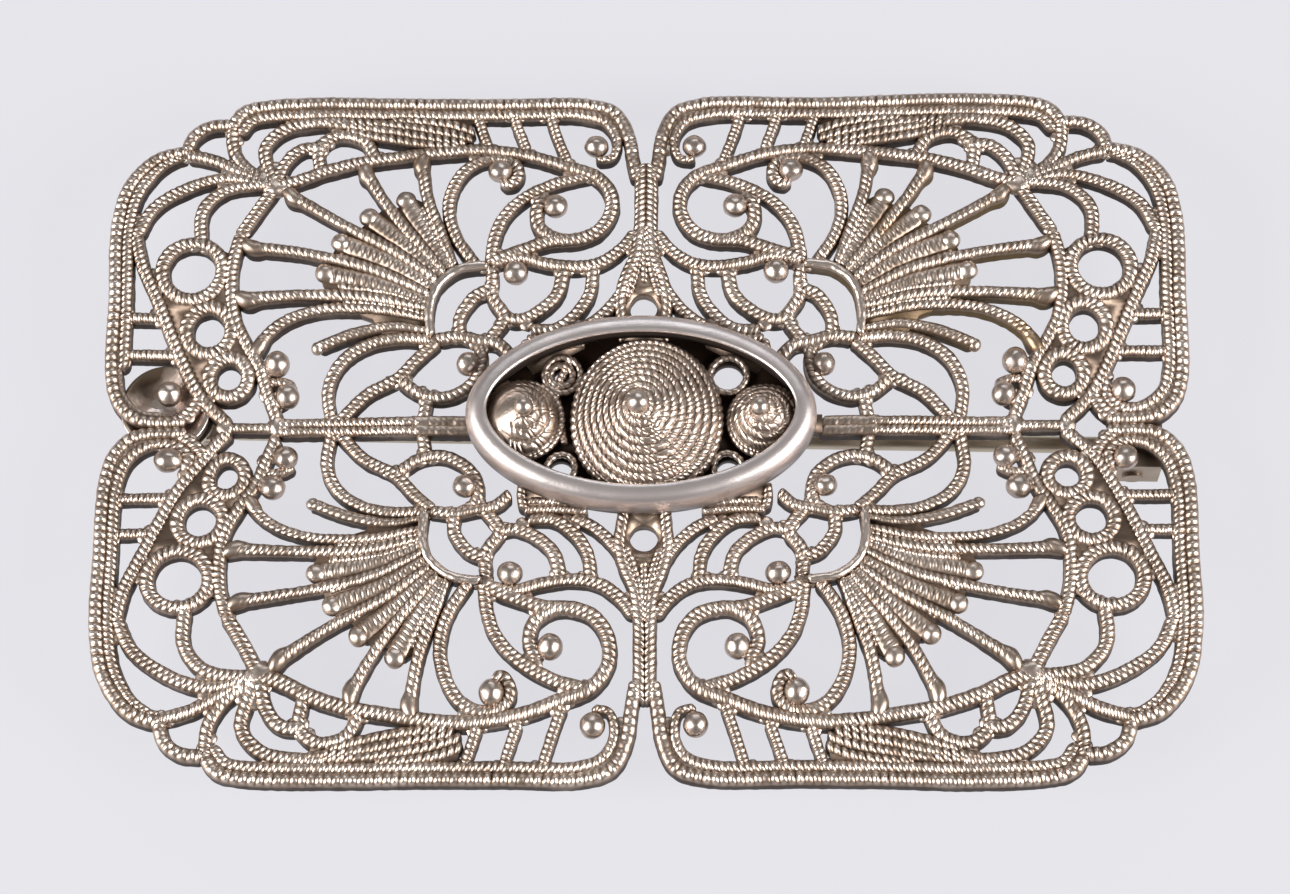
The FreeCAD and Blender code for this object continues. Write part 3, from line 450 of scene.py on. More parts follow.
def wires(paths, **options):
    """Several wires of one kind, each a hair higher or lower than the one before it."""
    shape = Shape()
    for i, points in enumerate(paths):
        shape.join(wire(points, foot=0.01 * (i % 3), **options))
    return shape


# --- smaller shapes ----------------------------------------------------------------------------


def ball(x, y, z, radius, squash=1.0, rounds=28, levels=18, dent=0.03):
    """A melted granule: a ball that is slightly out of round."""
    shape = Shape()
    rings = []
    for j in range(1, levels):
        tilt = math.pi * j / levels
        ring = []
        for i in range(rounds):
            turn = 2 * math.pi * i / rounds
            n = Vector((math.sin(tilt) * math.cos(turn), math.sin(tilt) * math.sin(turn), math.cos(tilt)))
            r = radius * (1 + dent * noise.noise(n * 1.7 + Vector((x, y, 0))))
            wear_and_painted_light = 0.25 + 0.55 * (n.z * 0.5 + 0.5)
            ring.append(shape.add((x + n.x * r, y + n.y * r, z + n.z * r * squash), wear_and_painted_light))
        rings.append(ring)
    top = shape.add((x, y, z + radius * squash), 0.8)
    bottom = shape.add((x, y, z - radius * squash), 0.1)
    for i in range(rounds):
        n = (i + 1) % rounds
        shape.faces.append((top, rings[0][i], rings[0][n]))
        shape.faces.append((bottom, rings[-1][n], rings[-1][i]))
        for a, b in zip(rings, rings[1:]):
            shape.faces.append((a[i], b[i], b[n], a[n]))
    return shape


def plate(outline, low, high, holes=(), wear_and_painted_light=0.3):
    """A flat plate with holes."""
    shape = Shape()
    loops = [outline] + list(holes)
    flat = [point for loop in loops for point in loop]
    count = len(flat)
    for z in (low, high):
        for x, y in flat:
            shape.add((x, y, z), wear_and_painted_light if z == high else 0.1)
    triangles = tessellate_polygon([[Vector((x, y, 0)) for x, y in loop] for loop in loops])
    for a, b, c in triangles:
        cross = (flat[b][0] - flat[a][0]) * (flat[c][1] - flat[a][1])
        cross -= (flat[b][1] - flat[a][1]) * (flat[c][0] - flat[a][0])
        if cross < 0:
            b, c = c, b
        shape.faces.append((a + count, b + count, c + count))
        shape.faces.append((c, b, a))
    start = 0
    for k, loop in enumerate(loops):
        size = len(loop)
        area = sum(p[0] * q[1] - q[0] * p[1] for p, q in zip(loop, loop[1:] + loop[:1]))
        forward = (area > 0) == (k == 0)
        for i in range(size):
            a, b = start + i, start + (i + 1) % size
            if not forward:
                a, b = b, a
            shape.faces.append((a, b, b + count, a + count))
        start += size
    return shape


def circle(x, y, radius, count=40):
    turns = [2 * math.pi * i / count for i in range(count)]
    return [(x + radius * math.cos(t), y + radius * math.sin(t)) for t in turns]


def coil(x, radius, low, profile, turns, strand, depth, worn, twist=0.5, lean=(0.0, 0.0), stretch=(1.0, 1.0)):
    """A rope wound into a mound: round turns with slanting strands on them.

    profile(share) is the height of the mound at a share of the radius from its middle, and
    worn(share, angle) is how much of the strands is left there, from 0 to 1.
    """
    shape = Shape()
    per_turn = 11
    around = 640
    pitch = radius / turns
    rows = turns * per_turn
    grid = []
    for i in range(rows + 1):
        row = []
        r = radius * (1 - i / rows)
        for j in range(around):
            angle = 2 * math.pi * j / around
            u = (radius - r) / pitch + angle / (2 * math.pi)
            index = math.floor(u)
            across = u - index
            lobe = math.sqrt(max(0.0, 1 - (2 * across - 1) ** 2))
            strands = max(8, round(2 * math.pi * max(0.3, radius - index * pitch - pitch / 2) / strand))
            jitter = 1.3 * noise.noise(Vector((math.cos(angle) * 2.5, math.sin(angle) * 2.5, index * 1.7)))
            phase = strands * angle / (2 * math.pi) + twist * across * 2 + jitter
            bead = abs(math.sin(math.pi * phase)) ** 0.55
            left = worn(r / radius, angle)
            full = lobe * left + 0.75 * (1 - left)
            rise = depth * full * (0.4 + 0.6 * (bead * left + 1 - left)) if r > 0.25 else depth * 0.6
            crooked = 0.05 * noise.noise(Vector((r * math.cos(angle) * 0.9, r * math.sin(angle) * 0.9, 4.4)))
            height = profile(r / radius) + rise + crooked
            wear_and_painted_light = 0.12 + 0.46 * lobe * (0.45 + 0.55 * bead) + 0.3 * (bead * lobe) ** 2 + 0.2 * (1 - left)
            inner = 1 - r / radius
            px = x + r * math.cos(angle) * stretch[0] + lean[0] * inner
            row.append(shape.add((px, r * math.sin(angle) * stretch[1] + lean[1] * inner, height), wear_and_painted_light))
        grid.append(row)
    turned = [2 * math.pi * j / around for j in range(around)]
    skirt = [shape.add((x + radius * math.cos(t) * stretch[0], radius * math.sin(t) * stretch[1], low), 0.1)
             for t in turned]
    grid.insert(0, skirt)
    for a, b in zip(grid, grid[1:]):
        for j in range(around):
            n = (j + 1) % around
            shape.faces.append((a[j], a[n], b[n], b[j]))
    return shape


def rope_ring(x, y, z, ring_radius, rope_radius, pitch, twist=0.6, stretch=(1.0, 1.0), turn=0.0, start=0.0,
              end=1.0, depth=0.18):
    """A ring, or part of one, of twisted wire."""
    shape = Shape()
    length = 2 * math.pi * ring_radius * (end - start)
    strands = max(4, round(length / pitch))
    steps = strands * 8
    around = 14
    rings = []
    for i in range(steps + (1 if end - start < 1 else 0)):
        share = start + (end - start) * i / steps
        angle = 2 * math.pi * share
        out = Vector((math.cos(angle), math.sin(angle), 0))
        centre = Vector((out.x * ring_radius * stretch[0], out.y * ring_radius * stretch[1], 0))
        ring = []
        for j in range(around):
            side = 2 * math.pi * j / around
            phase = strands * i / steps + twist * j / around * 2
            bead = abs(math.sin(math.pi * phase)) ** 0.7
            r = rope_radius * (1 - depth + depth * bead)
            p = centre + out * (math.cos(side) * r) + Vector((0, 0, math.sin(side) * r))
            px = p.x * math.cos(turn) - p.y * math.sin(turn)
            py = p.x * math.sin(turn) + p.y * math.cos(turn)
            wear_and_painted_light = 0.15 + 0.6 * bead * (0.5 + 0.5 * math.sin(side))
            ring.append(shape.add((x + px, y + py, z + p.z), wear_and_painted_light))
        rings.append(ring)
    connect(shape, rings, end - start >= 1, caps=False)
    return shape


# --- materials ---------------------------------------------------------------------------------


# Where the wear value stands for a groove, for bare metal and for a rubbed crest.
GROOVE = 0.14
BARE = 0.5
CREST = 0.92
UNDERSIDE_WEAR = 0.52
BUMP_DEPTH = 0.00002


def noise_value(tree, vector, scale, detail):
    node = tree.nodes.new("ShaderNodeTexNoise")
    node.inputs["Scale"].default_value = scale
    node.inputs["Detail"].default_value = detail
    tree.links.new(vector, node.inputs["Vector"])
    return node.outputs["Fac"]


def math_value(tree, operation, *values):
    """A math node, each input of which is a number or another node's output."""
    node = tree.nodes.new("ShaderNodeMath")
    node.operation = operation
    for socket, value in zip(node.inputs, values):
        if isinstance(value, float):
            socket.default_value = value
        else:
            tree.links.new(value, socket)
    return node.outputs["Value"]


def mapped(tree, value, low, high, to_low, to_high):
    """A value moved from the range low to high into the range to_low to to_high."""
    node = tree.nodes.new("ShaderNodeMapRange")
    node.inputs["From Min"].default_value = low
    node.inputs["From Max"].default_value = high
    node.inputs["To Min"].default_value = to_low
    node.inputs["To Max"].default_value = to_high
    tree.links.new(value, node.inputs["Value"])
    return node.outputs["Result"]


def bumped(tree, height, strength, normal=None):
    node = tree.nodes.new("ShaderNodeBump")
    node.inputs["Strength"].default_value = strength
    node.inputs["Distance"].default_value = BUMP_DEPTH
    tree.links.new(height, node.inputs["Height"])
    if normal:
        tree.links.new(normal, node.inputs["Normal"])
    return node.outputs["Normal"]


def worn(tree, place):
    """The mesh's wear value (on some pieces also painted shade or light), but at least half worn where the
    surface faces down.
    """
    wear_and_painted_light = tree.nodes.new("ShaderNodeAttribute")
    wear_and_painted_light.attribute_name = "wear_and_painted_light"
    facing = tree.nodes.new("ShaderNodeSeparateXYZ")
    tree.links.new(place.outputs["Normal"], facing.inputs["Vector"])
    under = mapped(tree, facing.outputs["Z"], -0.4, -0.9, 0.0, UNDERSIDE_WEAR)
    return math_value(tree, "MAXIMUM", wear_and_painted_light.outputs["Fac"], under)


def stained(tree, place, colour, stain_colour):
    """The colour with patches of another colour over it."""
    patch = noise_value(tree, place.outputs["Object"], 160.0, 2.0)
    blend = tree.nodes.new("ShaderNodeMix")
    blend.data_type = "RGBA"
    blend.blend_type = "MULTIPLY"
    blend.inputs["B"].default_value = (*stain_colour, 1)
    tree.links.new(mapped(tree, patch, 0.52, 0.72, 0.0, 0.6), blend.inputs["Factor"])
    tree.links.new(colour, blend.inputs["A"])
    return blend.outputs["Result"]


def scratched(tree, place, normal, strength):
    """Fine score lines along X."""
    along = tree.nodes.new("ShaderNodeMapping")
    along.inputs["Scale"].default_value = (40.0, 9000.0, 9000.0)
    tree.links.new(place.outputs["Object"], along.inputs["Vector"])
    return bumped(tree, noise_value(tree, along.outputs["Vector"], 1.0, 3.0), strength, normal)


def silver(name, light, middle, dark, low_gloss, high_gloss, grain=0.5, stain=0.5, stain_colour=None,
           scratch=0.0, plain=None):
    """Old silver: bright on rubbed crests, brown in grooves, grey underneath, stained and grained.

    plain is one wear value for the whole piece, for meshes that carry none.
    """
    material = bpy.data.materials.new(name)
    material.use_nodes = True
    tree = material.node_tree
    shader = tree.nodes["Principled BSDF"]
    shader.inputs["Specular IOR Level"].default_value = 0.12
    place = tree.nodes.new("ShaderNodeTexCoord")
    cloud = noise_value(tree, place.outputs["Object"], 420.0, 5.0)
    fine = noise_value(tree, place.outputs["Object"], 5200.0, 3.0)
    wear_and_painted_light = worn(tree, place) if plain is None else plain
    sway = math_value(tree, "MULTIPLY_ADD", cloud, stain, wear_and_painted_light)
    tone = math_value(tree, "SUBTRACT", sway, stain * 0.5)
    ramp = tree.nodes.new("ShaderNodeValToRGB")
    ramp.color_ramp.elements[0].position = GROOVE
    ramp.color_ramp.elements[0].color = (*dark, 1)
    ramp.color_ramp.elements[1].position = CREST
    ramp.color_ramp.elements[1].color = (*light, 1)
    ramp.color_ramp.elements.new(BARE).color = (*middle, 1)
    tree.links.new(tone, ramp.inputs["Fac"])
    colour = ramp.outputs["Color"]
    if stain_colour:
        colour = stained(tree, place, colour, stain_colour)
    tree.links.new(colour, shader.inputs["Base Color"])
    tree.links.new(mapped(tree, tone, 0.08, 0.4, 0.15, 1.0), shader.inputs["Metallic"])
    tree.links.new(mapped(tree, tone, 0.0, 1.0, high_gloss, low_gloss), shader.inputs["Roughness"])
    normal = bumped(tree, fine, grain)
    if scratch:
        normal = scratched(tree, place, normal, scratch)
    tree.links.new(normal, shader.inputs["Normal"])
    return material


LIGHT = (0.83, 0.735, 0.665)
MIDDLE = (0.37, 0.285, 0.225)
DARK = (0.028, 0.016, 0.01)
beaded = silver("beaded_silver_wire", LIGHT, MIDDLE, DARK, 0.33, 0.54)
gilded = silver("beaded_silver_wire_with_old_gilding", LIGHT, MIDDLE, (0.08, 0.048, 0.012), 0.33, 0.54,
                stain_colour=(1.0, 0.74, 0.30))
grained = silver("granule_silver", (0.76, 0.67, 0.61), (0.46, 0.385, 0.335), (0.08, 0.06, 0.045),
                 0.31, 0.46, grain=0.4)
burnished = silver("burnished_bezel_silver", (0.93, 0.87, 0.86), (0.68, 0.62, 0.61), (0.06, 0.045, 0.038),
                   0.37, 0.50, grain=0.5, stain=0.6, scratch=0.25)
corded = silver("corded_silver", (0.94, 0.81, 0.71), (0.60, 0.49, 0.415), (0.05, 0.034, 0.025), 0.28, 0.46)
# The dish's silver is much lighter than the wire silver: painted light that lifts the bowl out of the shadow
# it sits in.
dished = silver("dished_catch_silver_with_painted_light", (0.96, 0.85, 0.80), (0.66, 0.56, 0.50), (0.07, 0.05, 0.035),
                0.28, 0.44, grain=0.9, stain=0.7)
catch = silver("catch_metal", (0.90, 0.85, 0.76), (0.74, 0.68, 0.58), (0.3, 0.26, 0.2), 0.34, 0.52, plain=0.6)
drawn = silver("drawn_pin_metal", (0.72, 0.66, 0.53), (0.54, 0.475, 0.37), (0.26, 0.21, 0.15),
               0.34, 0.52, scratch=0.7, plain=0.55)
fitting = silver("soldered_fitting_metal", (0.62, 0.53, 0.43), (0.40, 0.33, 0.26), (0.12, 0.09, 0.06),
                 0.36, 0.56, plain=0.5)


# --- the pieces of one quarter -----------------------------------------------------------------


def main_wires():
    return wires(MAIN_ARC, width=0.8, height=1.2, pitch=0.35, ridge=0.07)


def outer_frame():
    return wires(OUTER_FRAME, width=0.76, height=1.22, pitch=0.45, ridge=0.085, slant=0.1)


def inner_frame(paths=INNER_FRAME):
    """The inner line of the frame, with the low bed between it and the outer line."""
    shape = wires(paths, width=0.7, height=1.12, pitch=0.34, ridge=0.065,
                  taper=(0.6, 1.0, 1.0, 1.0, 1.0, 1.0, 0.9))
    shape.join(wires(FRAME_BED, width=0.5, height=0.98, ridge=0.02, rounding=0.3))
    return shape


def frame_bars():
    shape = wires(FRAME_BARS, width=0.62, height=1.08, pitch=0.3, ridge=0.065, slant=0.15)
    shape.join(wires(BUNDLE, width=0.62, height=1.12, pitch=0.45, ridge=0.085, slant=0.5, shine=-0.14))
    shape.join(plate(BUNDLE_BED, BACK + 0.01, BACK + 0.95, wear_and_painted_light=0.18))
    return shape


def lump(x, y, radius, height):
    """A puddle of solder over a joint."""
    return ball(x, y, BACK + height - radius * 0.5, radius, squash=0.5, rounds=16, levels=10, dent=0.22)


def corner_scallops():
    shape = wires(CORNER_SCALLOPS, width=0.76, height=1.12, pitch=0.35, ridge=0.075)
    shape.join(lump(HUB[0], HUB[1], 0.8, 1.2))
    shape.join(lump(HUB[0] + 0.7, HUB[1] + 0.45, 0.6, 1.15))
    return shape


def ring_chain():
    shape = wires(RING_CHAIN, width=0.76, height=1.14, pitch=0.34, ridge=0.07)
    for x, y, hole in RINGS:
        loop = circle(x, y, hole + 0.34, 20)
        shape.join(wire(loop, width=0.84, height=1.18, pitch=0.34, ridge=0.07, closed=True))
    shape.join(wire(BALL_HOOK, width=0.55, height=1.0, pitch=0.32, ridge=0.05))
    holes = [circle(x, y, hole + 0.1, 28) for x, y, hole in RINGS]
    shape.join(plate(CHAIN_WEB, BACK + 0.01, BACK + 0.98, holes=holes, wear_and_painted_light=0.3))
    return shape


def scroll_wires():
    return wires(SCROLL_WIRES, width=0.74, height=1.1, pitch=0.34, ridge=0.07)


def leaf_wires():
    return wires(LEAF_WIRES, width=0.72, height=1.08, pitch=0.34, ridge=0.06)


def fan_rays():
    """The long wires that leave the fan: most end in a knob, the last one in a small ball."""
    shape = wires(LONG_RAYS[:-2], width=0.74, height=1.2, pitch=0.38, ridge=0.065, knobs=(False, True),
                  slant=0.5, taper=(0.55, 0.9, 1.0, 0.95, 0.9, 1.0, 1.2))
    shape.join(wire(LONG_RAYS[-2], width=0.68, height=1.2, pitch=0.36, ridge=0.06, knobs=(False, True),
                    slant=0.5, taper=(0.6, 0.85, 0.9, 0.85, 0.9, 1.0)))
    x, y = LONG_RAYS[-1][-1]
    shape.join(wire(LONG_RAYS[-1], width=0.7, height=1.14, pitch=0.36, ridge=0.035,
                    taper=(0.6, 0.85, 0.95, 0.9)))
    shape.join(ball(x, y, BACK + 0.72, 0.36, squash=0.95))
    return shape


def fan_shell():
    """A web with broad ribs that end in balls, narrow wires between them and a smooth rim."""
    # The web's low wear value paints it dark: painted shade, so it reads as a shadowed gap between the ribs.
    shape = plate(FAN_WEB, BACK + 0.01, BACK + 0.94, wear_and_painted_light=0.22)
    shape.join(wires(SHORT_RIBS, width=1.16, height=1.12, pitch=0.34, ridge=0.07, slant=0.15, rounding=0.42,
                     taper=(0.45, 0.8, 1.0), crest=True))
    for points in BETWEEN_RIBS:
        shape.join(wire(points, width=0.5, height=1.1, pitch=0.36, ridge=0.07, taper=(0.6, 0.9, 1.0),
                        slant=0.2))
    for points in SHORT_RIBS:
        x, y = points[-1]
        shape.join(ball(x, y, BACK + 0.82, 0.58, squash=0.85))
    # The smooth rim is lighter along its whole length: a painted highlight, added to its wear value through
    # shine.
    shape.join(wire(FAN_RIM, width=0.5, height=1.34, ridge=0.0, shine=0.3))
    return shape


def granules():
    shape = Shape()
    for x, y, radius in GRANULES:
        shape.join(ball(x, y, BACK + 0.95, radius))
    return shape


# The kinds of wire that are soldered to others: name, paths and width.
SOLDERED = [
    ("corner_scallops", CORNER_SCALLOPS, 0.76),
    ("frame_bars", FRAME_BARS, 0.62),
    ("inner_frame", INNER_FRAME, 0.68),
    ("leaf_wires", LEAF_WIRES, 0.72),
    ("main_arc", MAIN_ARC, 0.8),
    ("outer_frame", OUTER_FRAME, 0.76),
    ("ring_chain", RING_CHAIN + [circle(x, y, hole + 0.31, 20) for x, y, hole in RINGS], 0.76),
    ("scroll_wires", SCROLL_WIRES, 0.74),
]


def solder():
    """For each kind of wire, the small puddles in the corners where it runs into another wire."""
    spacing = 0.42
    samples = []
    for kind, paths, width in SOLDERED:
        for number, points in enumerate(paths):
            for x, y, tx, ty, s in even_steps(curve_points(points), 0.25):
                samples.append((x, y, (kind, number), width / 2))
    tree = kdtree.KDTree(len(samples))
    for i, (x, y, owner, half) in enumerate(samples):
        tree.insert((x, y, 0), i)
    tree.balance()
    puddles = {kind: Shape() for kind, paths, width in SOLDERED}
    placed = []
    for x, y, owner, half in samples:
        for point, i, distance in tree.find_range((x, y, 0), 1.0):
            ox, oy, other, other_half = samples[i]
            if other <= owner or not 0.8 < distance / (half + other_half) < 1.2:
                continue
            mx, my = (x + ox) / 2, (y + oy) / 2
            if all(math.hypot(mx - px, my - py) > spacing for px, py in placed):
                placed.append((mx, my))
                height = 0.96 + 0.12 * noise.noise(Vector((mx, my, 6.6)))
                puddles[owner[0]].join(lump(mx, my, 0.4, height))
    return puddles


puddles = solder()
KINDS = [
    ("outer_frame", outer_frame, "beaded_silver"),
    ("inner_frame", inner_frame, "beaded_silver"),
    ("main_arc", main_wires, "beaded_silver"),
    ("ring_chain", ring_chain, "beaded_silver"),
    ("fan_shell", fan_shell, "beaded_silver"),
    ("fan_rays", fan_rays, "beaded_silver"),
    ("corner_scallops", corner_scallops, "beaded_silver"),
    ("leaf_wires", leaf_wires, "beaded_silver"),
    ("scroll_wires", scroll_wires, "beaded_silver"),
    ("frame_bars", frame_bars, "beaded_silver"),
    ("granules", granules, "granule_silver"),
]
for kind, shape_of, slot_name in KINDS:
    pattern = shape_of()
    if kind in puddles:
        pattern.join(puddles[kind])
    for quarter, (sx, sy) in QUARTERS.items():
        shape = pattern
        if (quarter, kind) == ("upper_left", "inner_frame"):  # it stops short of the catch's dish
            shape = inner_frame([INNER_FRAME[0], INNER_FRAME[1][:6]])
        coat = grained if kind == "granules" else beaded
        if quarter == "upper_right" and kind in ("fan_shell", "fan_rays"):
            coat = gilded
        piece_name = f"{quarter}_{kind}_wirework"
        make_piece(piece_name, shape.flipped(sx, sy), coat, f"{quarter}_{kind}")


# --- the middle --------------------------------------------------------------------------------


def stem(side):
    """Two wires side by side that part round a hole, with a lumpy web between them."""
    web = [(-0.45, 15.4), (0.45, 15.4), (0.5, 10.8), (0.95, 9.3), (1.5, 8.0), (1.5, 6.5), (1.1, 4.9),
           (-1.1, 4.9), (-1.5, 6.5), (-1.5, 8.0), (-0.95, 9.3), (-0.5, 10.8)]
    shape = plate(web, BACK + 0.01, BACK + 0.98, holes=[circle(0, 6.75, 0.8)], wear_and_painted_light=0.45)
    for sx in (1, -1):
        path = [(0.3, 15.7), (0.3, 13.5), (0.33, 11.4), (0.55, 9.8), (1.1, 8.4), (1.35, 7.2), (1.25, 6.1),
                (1.1, 4.9)]
        shape.join(wire([(sx * x, y) for x, y in path], width=0.68, height=1.2, pitch=0.36, slant=0.6 * sx))
        path = [(0.14, 11.6), (0.24, 9.8), (0.6, 8.4), (0.98, 7.3)]
        shape.join(wire([(sx * x, y) for x, y in path], width=0.5, height=1.14, pitch=0.32))
    shape.join(wire([(0, 10.4), (0, 9.2), (0, 8.1)], width=0.5, height=1.1, pitch=0.32))
    return shape.flipped(1, side)


def centre_bar(side):
    """Two wires side by side, rubbed flat next to the bezel, then a single wire."""
    shape = plate([(9.6, -0.3), (19.8, -0.3), (19.8, 0.3), (9.6, 0.3)], BACK + 0.02, BACK + 0.96, wear_and_painted_light=0.4)
    for y in (0.25, -0.25):
        shape.join(wire([(9.6, y), (11.2, y * 1.02), (12.9, y * 1.05)], width=0.62, height=1.14, ridge=0.012,
                        rounding=0.4))
        shape.join(wire([(12.4, y * 1.04), (16.0, y), (20.4, y * 0.9)], width=0.6, height=1.16, ridge=0.06))
    shape.join(wire([(19.6, 0.02), (21.3, 0.0), (23.3, 0.0)], width=0.62, height=1.14, ridge=0.045))
    shape.join(lump(20.3, 0.1, 0.62, 1.2))
    shape.join(lump(23.2, 0.0, 0.5, 1.14))
    return shape.flipped(side, 1)


BEZEL_X = -0.2
BEZEL_Y = 0.36
BEZEL_HALF_LENGTH = 9.65
BEZEL_HALF_WIDTH = 5.65
BEZEL_POINTED = 1.03
# The wall's section: inward from the outline, up from the base plate, wear. The low wear values on the inner
# wall are painted shade, which keeps the inside of the wall dark.
BEZEL_SECTION = [
    (0.0, 0.0, 0.15), (0.0, 0.5, 0.35), (0.03, 0.9, 0.5), (0.09, 1.15, 0.6), (0.19, 1.36, 0.7),
    (0.33, 1.53, 0.75), (0.5, 1.65, 0.75), (0.7, 1.71, 0.72), (0.92, 1.735, 0.7), (1.08, 1.73, 0.8),
    (1.17, 1.69, 1.0), (1.21, 1.6, 0.8), (1.18, 1.46, 0.3), (1.02, 1.3, 0.05), (1.0, 0.7, 0.0),
    (1.0, 0.1, 0.0), (0.6, 0.02, 0.0),
]


def bezel():
    """The smooth oval wall round the middle, slightly pointed at its two ends."""
    shape = Shape()
    count = 240
    outline = []
    for i in range(count):
        t = 2 * math.pi * i / count
        c, s = math.cos(t), math.sin(t)
        x = BEZEL_HALF_LENGTH * math.copysign(abs(c) ** BEZEL_POINTED, c)
        y = BEZEL_HALF_WIDTH * math.copysign(abs(s) ** BEZEL_POINTED, s)
        outline.append((x, y))
    rings = []
    for i, (x, y) in enumerate(outline):
        a, b = outline[i - 1], outline[(i + 1) % count]
        tx, ty = b[0] - a[0], b[1] - a[1]
        length = math.hypot(tx, ty)
        nx, ny = -ty / length, tx / length
        dent = 0.03 * noise.noise(Vector((x * 0.6, y * 0.6, 0.4)))
        ring = []
        for inward, up, wear_and_painted_light in BEZEL_SECTION:
            z = BASE_TOP + up + (dent if up > 1 else 0)
            ring.append(shape.add((x + nx * inward + BEZEL_X, y + ny * inward + BEZEL_Y, z), wear_and_painted_light))
        rings.append(ring)
    connect(shape, rings, True)
    return shape


def dome(high, low, power):
    """The height of a mound at each share of its radius."""
    return lambda share: low + (high - low) * (1 - share ** power)


def cone_wear(share, angle):
    """Rubbed towards the middle."""
    return max(0.5, min(1.0, 0.45 + 1.0 * share))


def left_wear(share, angle):
    """The left boss is rubbed smooth on its outer side."""
    rubbed = max(0.0, -math.cos(angle + 0.3)) * 1.3
    return max(0.05, 1 - rubbed)


def right_wear(share, angle):
    return 0.85


def quarter_plate():
    """A corner of the openwork plate under the oval, with its beading."""
    top = BASE_TOP - 0.1
    outline = [(3.4, 4.4), (6.2, 2.9), (6.7, 3.6), (6.6, 4.9), (5.0, 4.9), (3.3, 5.3)]
    shape = plate(outline, BASE_LOW, top, wear_and_painted_light=0.42)
    edges = [
        [(3.2, 5.15), (4.4, 5.0), (5.6, 4.98), (6.6, 5.0)],
        [(3.4, 4.7), (4.7, 4.55), (5.8, 4.5), (6.4, 4.5)],
        [(6.6, 5.0), (6.75, 4.2), (6.7, 3.5)],
    ]
    shape.join(wires(edges, width=0.52, height=BASE_TOP - BACK, pitch=0.34, ridge=0.06))
    return shape


# The small loops round the cone: side in X and Y, radius and stretch in Y.
LOOPS = [(1, 1, 1.0, 1.05), (-1, 1, 0.62, 1.0), (1, -1, 0.8, 1.15), (-1, -1, 0.78, 1.1)]
LOOP_PLACE = (4.6, 2.72)


def base_plate():
    """The plate that carries the cone and the bosses, with a hole at each loop and two slits. Its top is
    painted nearly black-brown: painted shade between the cone and the bezel.
    """
    rim = []
    for i in range(96):
        t = 2 * math.pi * i / 96
        rim.append((8.9 * math.cos(t), BEZEL_Y + 4.95 * math.sin(t)))
    holes = []
    for sx, sy, size, squeeze in LOOPS:
        holes.append(circle(sx * LOOP_PLACE[0], sy * LOOP_PLACE[1], size * 0.86, 28))
    for side in (1, -1):
        slit = [(2.3, -4.15), (3.2, -3.75), (3.75, -3.5), (3.6, -3.2), (3.0, -3.45), (2.2, -3.95)]
        holes.append([(side * x, y) for x, y in slit][::side])
    # The very low wear value is painted shade: the plate shows dark where the cone and the bezel would shade
    # it.
    shape = plate(rim, BASE_LOW, BASE_TOP - 0.15, holes=holes, wear_and_painted_light=0.06)
    for side in (1, -1):
        arm = [(8.3, -0.5), (9.75, -0.5), (9.75, 0.5), (8.3, 0.5)]
        shape.join(plate([(side * x, y) for x, y in arm], BASE_LOW, BASE_TOP - 0.05))
        for y_side in (1, -1):
            shape.join(quarter_plate().flipped(side, y_side))
    return shape


def loops():
    """The twisted loops round the cone, and the wires between the cone and the left boss."""
    shape = Shape()
    for sx, sy, size, squeeze in LOOPS:
        shape.join(rope_ring(sx * LOOP_PLACE[0], sy * LOOP_PLACE[1], BASE_TOP + 0.2, size, 0.2, 0.36,
                             stretch=(1.0, squeeze), turn=-0.5 * sx * sy))
    x, y = -LOOP_PLACE[0], LOOP_PLACE[1]
    shape.join(rope_ring(x + 0.05, y + 0.05, BASE_TOP + 0.2, 1.0, 0.2, 0.36, stretch=(1.0, 1.05)))
    fill = [
        [(-4.1, 3.75), (-4.75, 2.2), (-5.0, 0.6), (-4.85, -1.0)],
        [(-5.35, 3.35), (-5.05, 1.8), (-4.7, 0.2), (-4.4, -1.3)],
    ]
    shape.join(wires(fill, width=0.5, height=BASE_TOP - BACK + 0.3, pitch=0.3, ridge=0.06))
    return shape


CONE_STRETCH = (0.91, 1.03)
BOSS_X = 6.55


def centre_cone():
    shape = coil(0.12, 4.36, BASE_TOP, dome(7.0, BASE_TOP + 0.95, 1.5), 10, 0.37, 0.28, cone_wear,
                 lean=(-0.42, 0.15), stretch=CONE_STRETCH)
    shape.join(rope_ring(0.12, 0, BASE_TOP + 0.45, 4.24, 0.38, 0.42, depth=0.26, stretch=CONE_STRETCH))
    return shape


def left_boss():
    """The larger boss, with a twisted wire round one half of its foot and a smooth one round the other."""
    shape = coil(-BOSS_X - 0.3, 2.0, BASE_TOP, dome(6.5, BASE_TOP + 0.6, 1.6), 4, 0.33, 0.2, left_wear,
                 lean=(0.3, 0.15), stretch=(1.05, 1.12))
    shape.join(rope_ring(-BOSS_X - 0.15, 0.1, BASE_TOP + 0.3, 2.12, 0.25, 0.33, start=-0.36, end=0.36))
    shape.join(rope_ring(-BOSS_X - 0.2, 0.1, BASE_TOP + 0.25, 2.2, 0.3, 3.2, start=0.3, end=0.7, depth=0.02))
    return shape


def right_boss():
    shape = coil(BOSS_X + 0.1, 2.0, BASE_TOP, dome(6.4, BASE_TOP + 0.4, 1.4), 5, 0.32, 0.22, right_wear,
                 lean=(-0.35, 0.1))
    shape.join(rope_ring(BOSS_X + 0.1, 0, BASE_TOP + 0.24, 1.97, 0.25, 0.33))
    return shape


def apex_balls():
    shape = ball(-0.3, 0.15, 7.35, 0.64)
    shape.join(ball(-BOSS_X, 0.1, 6.85, 0.52))
    shape.join(ball(BOSS_X - 0.25, 0.1, 6.7, 0.52))
    return shape


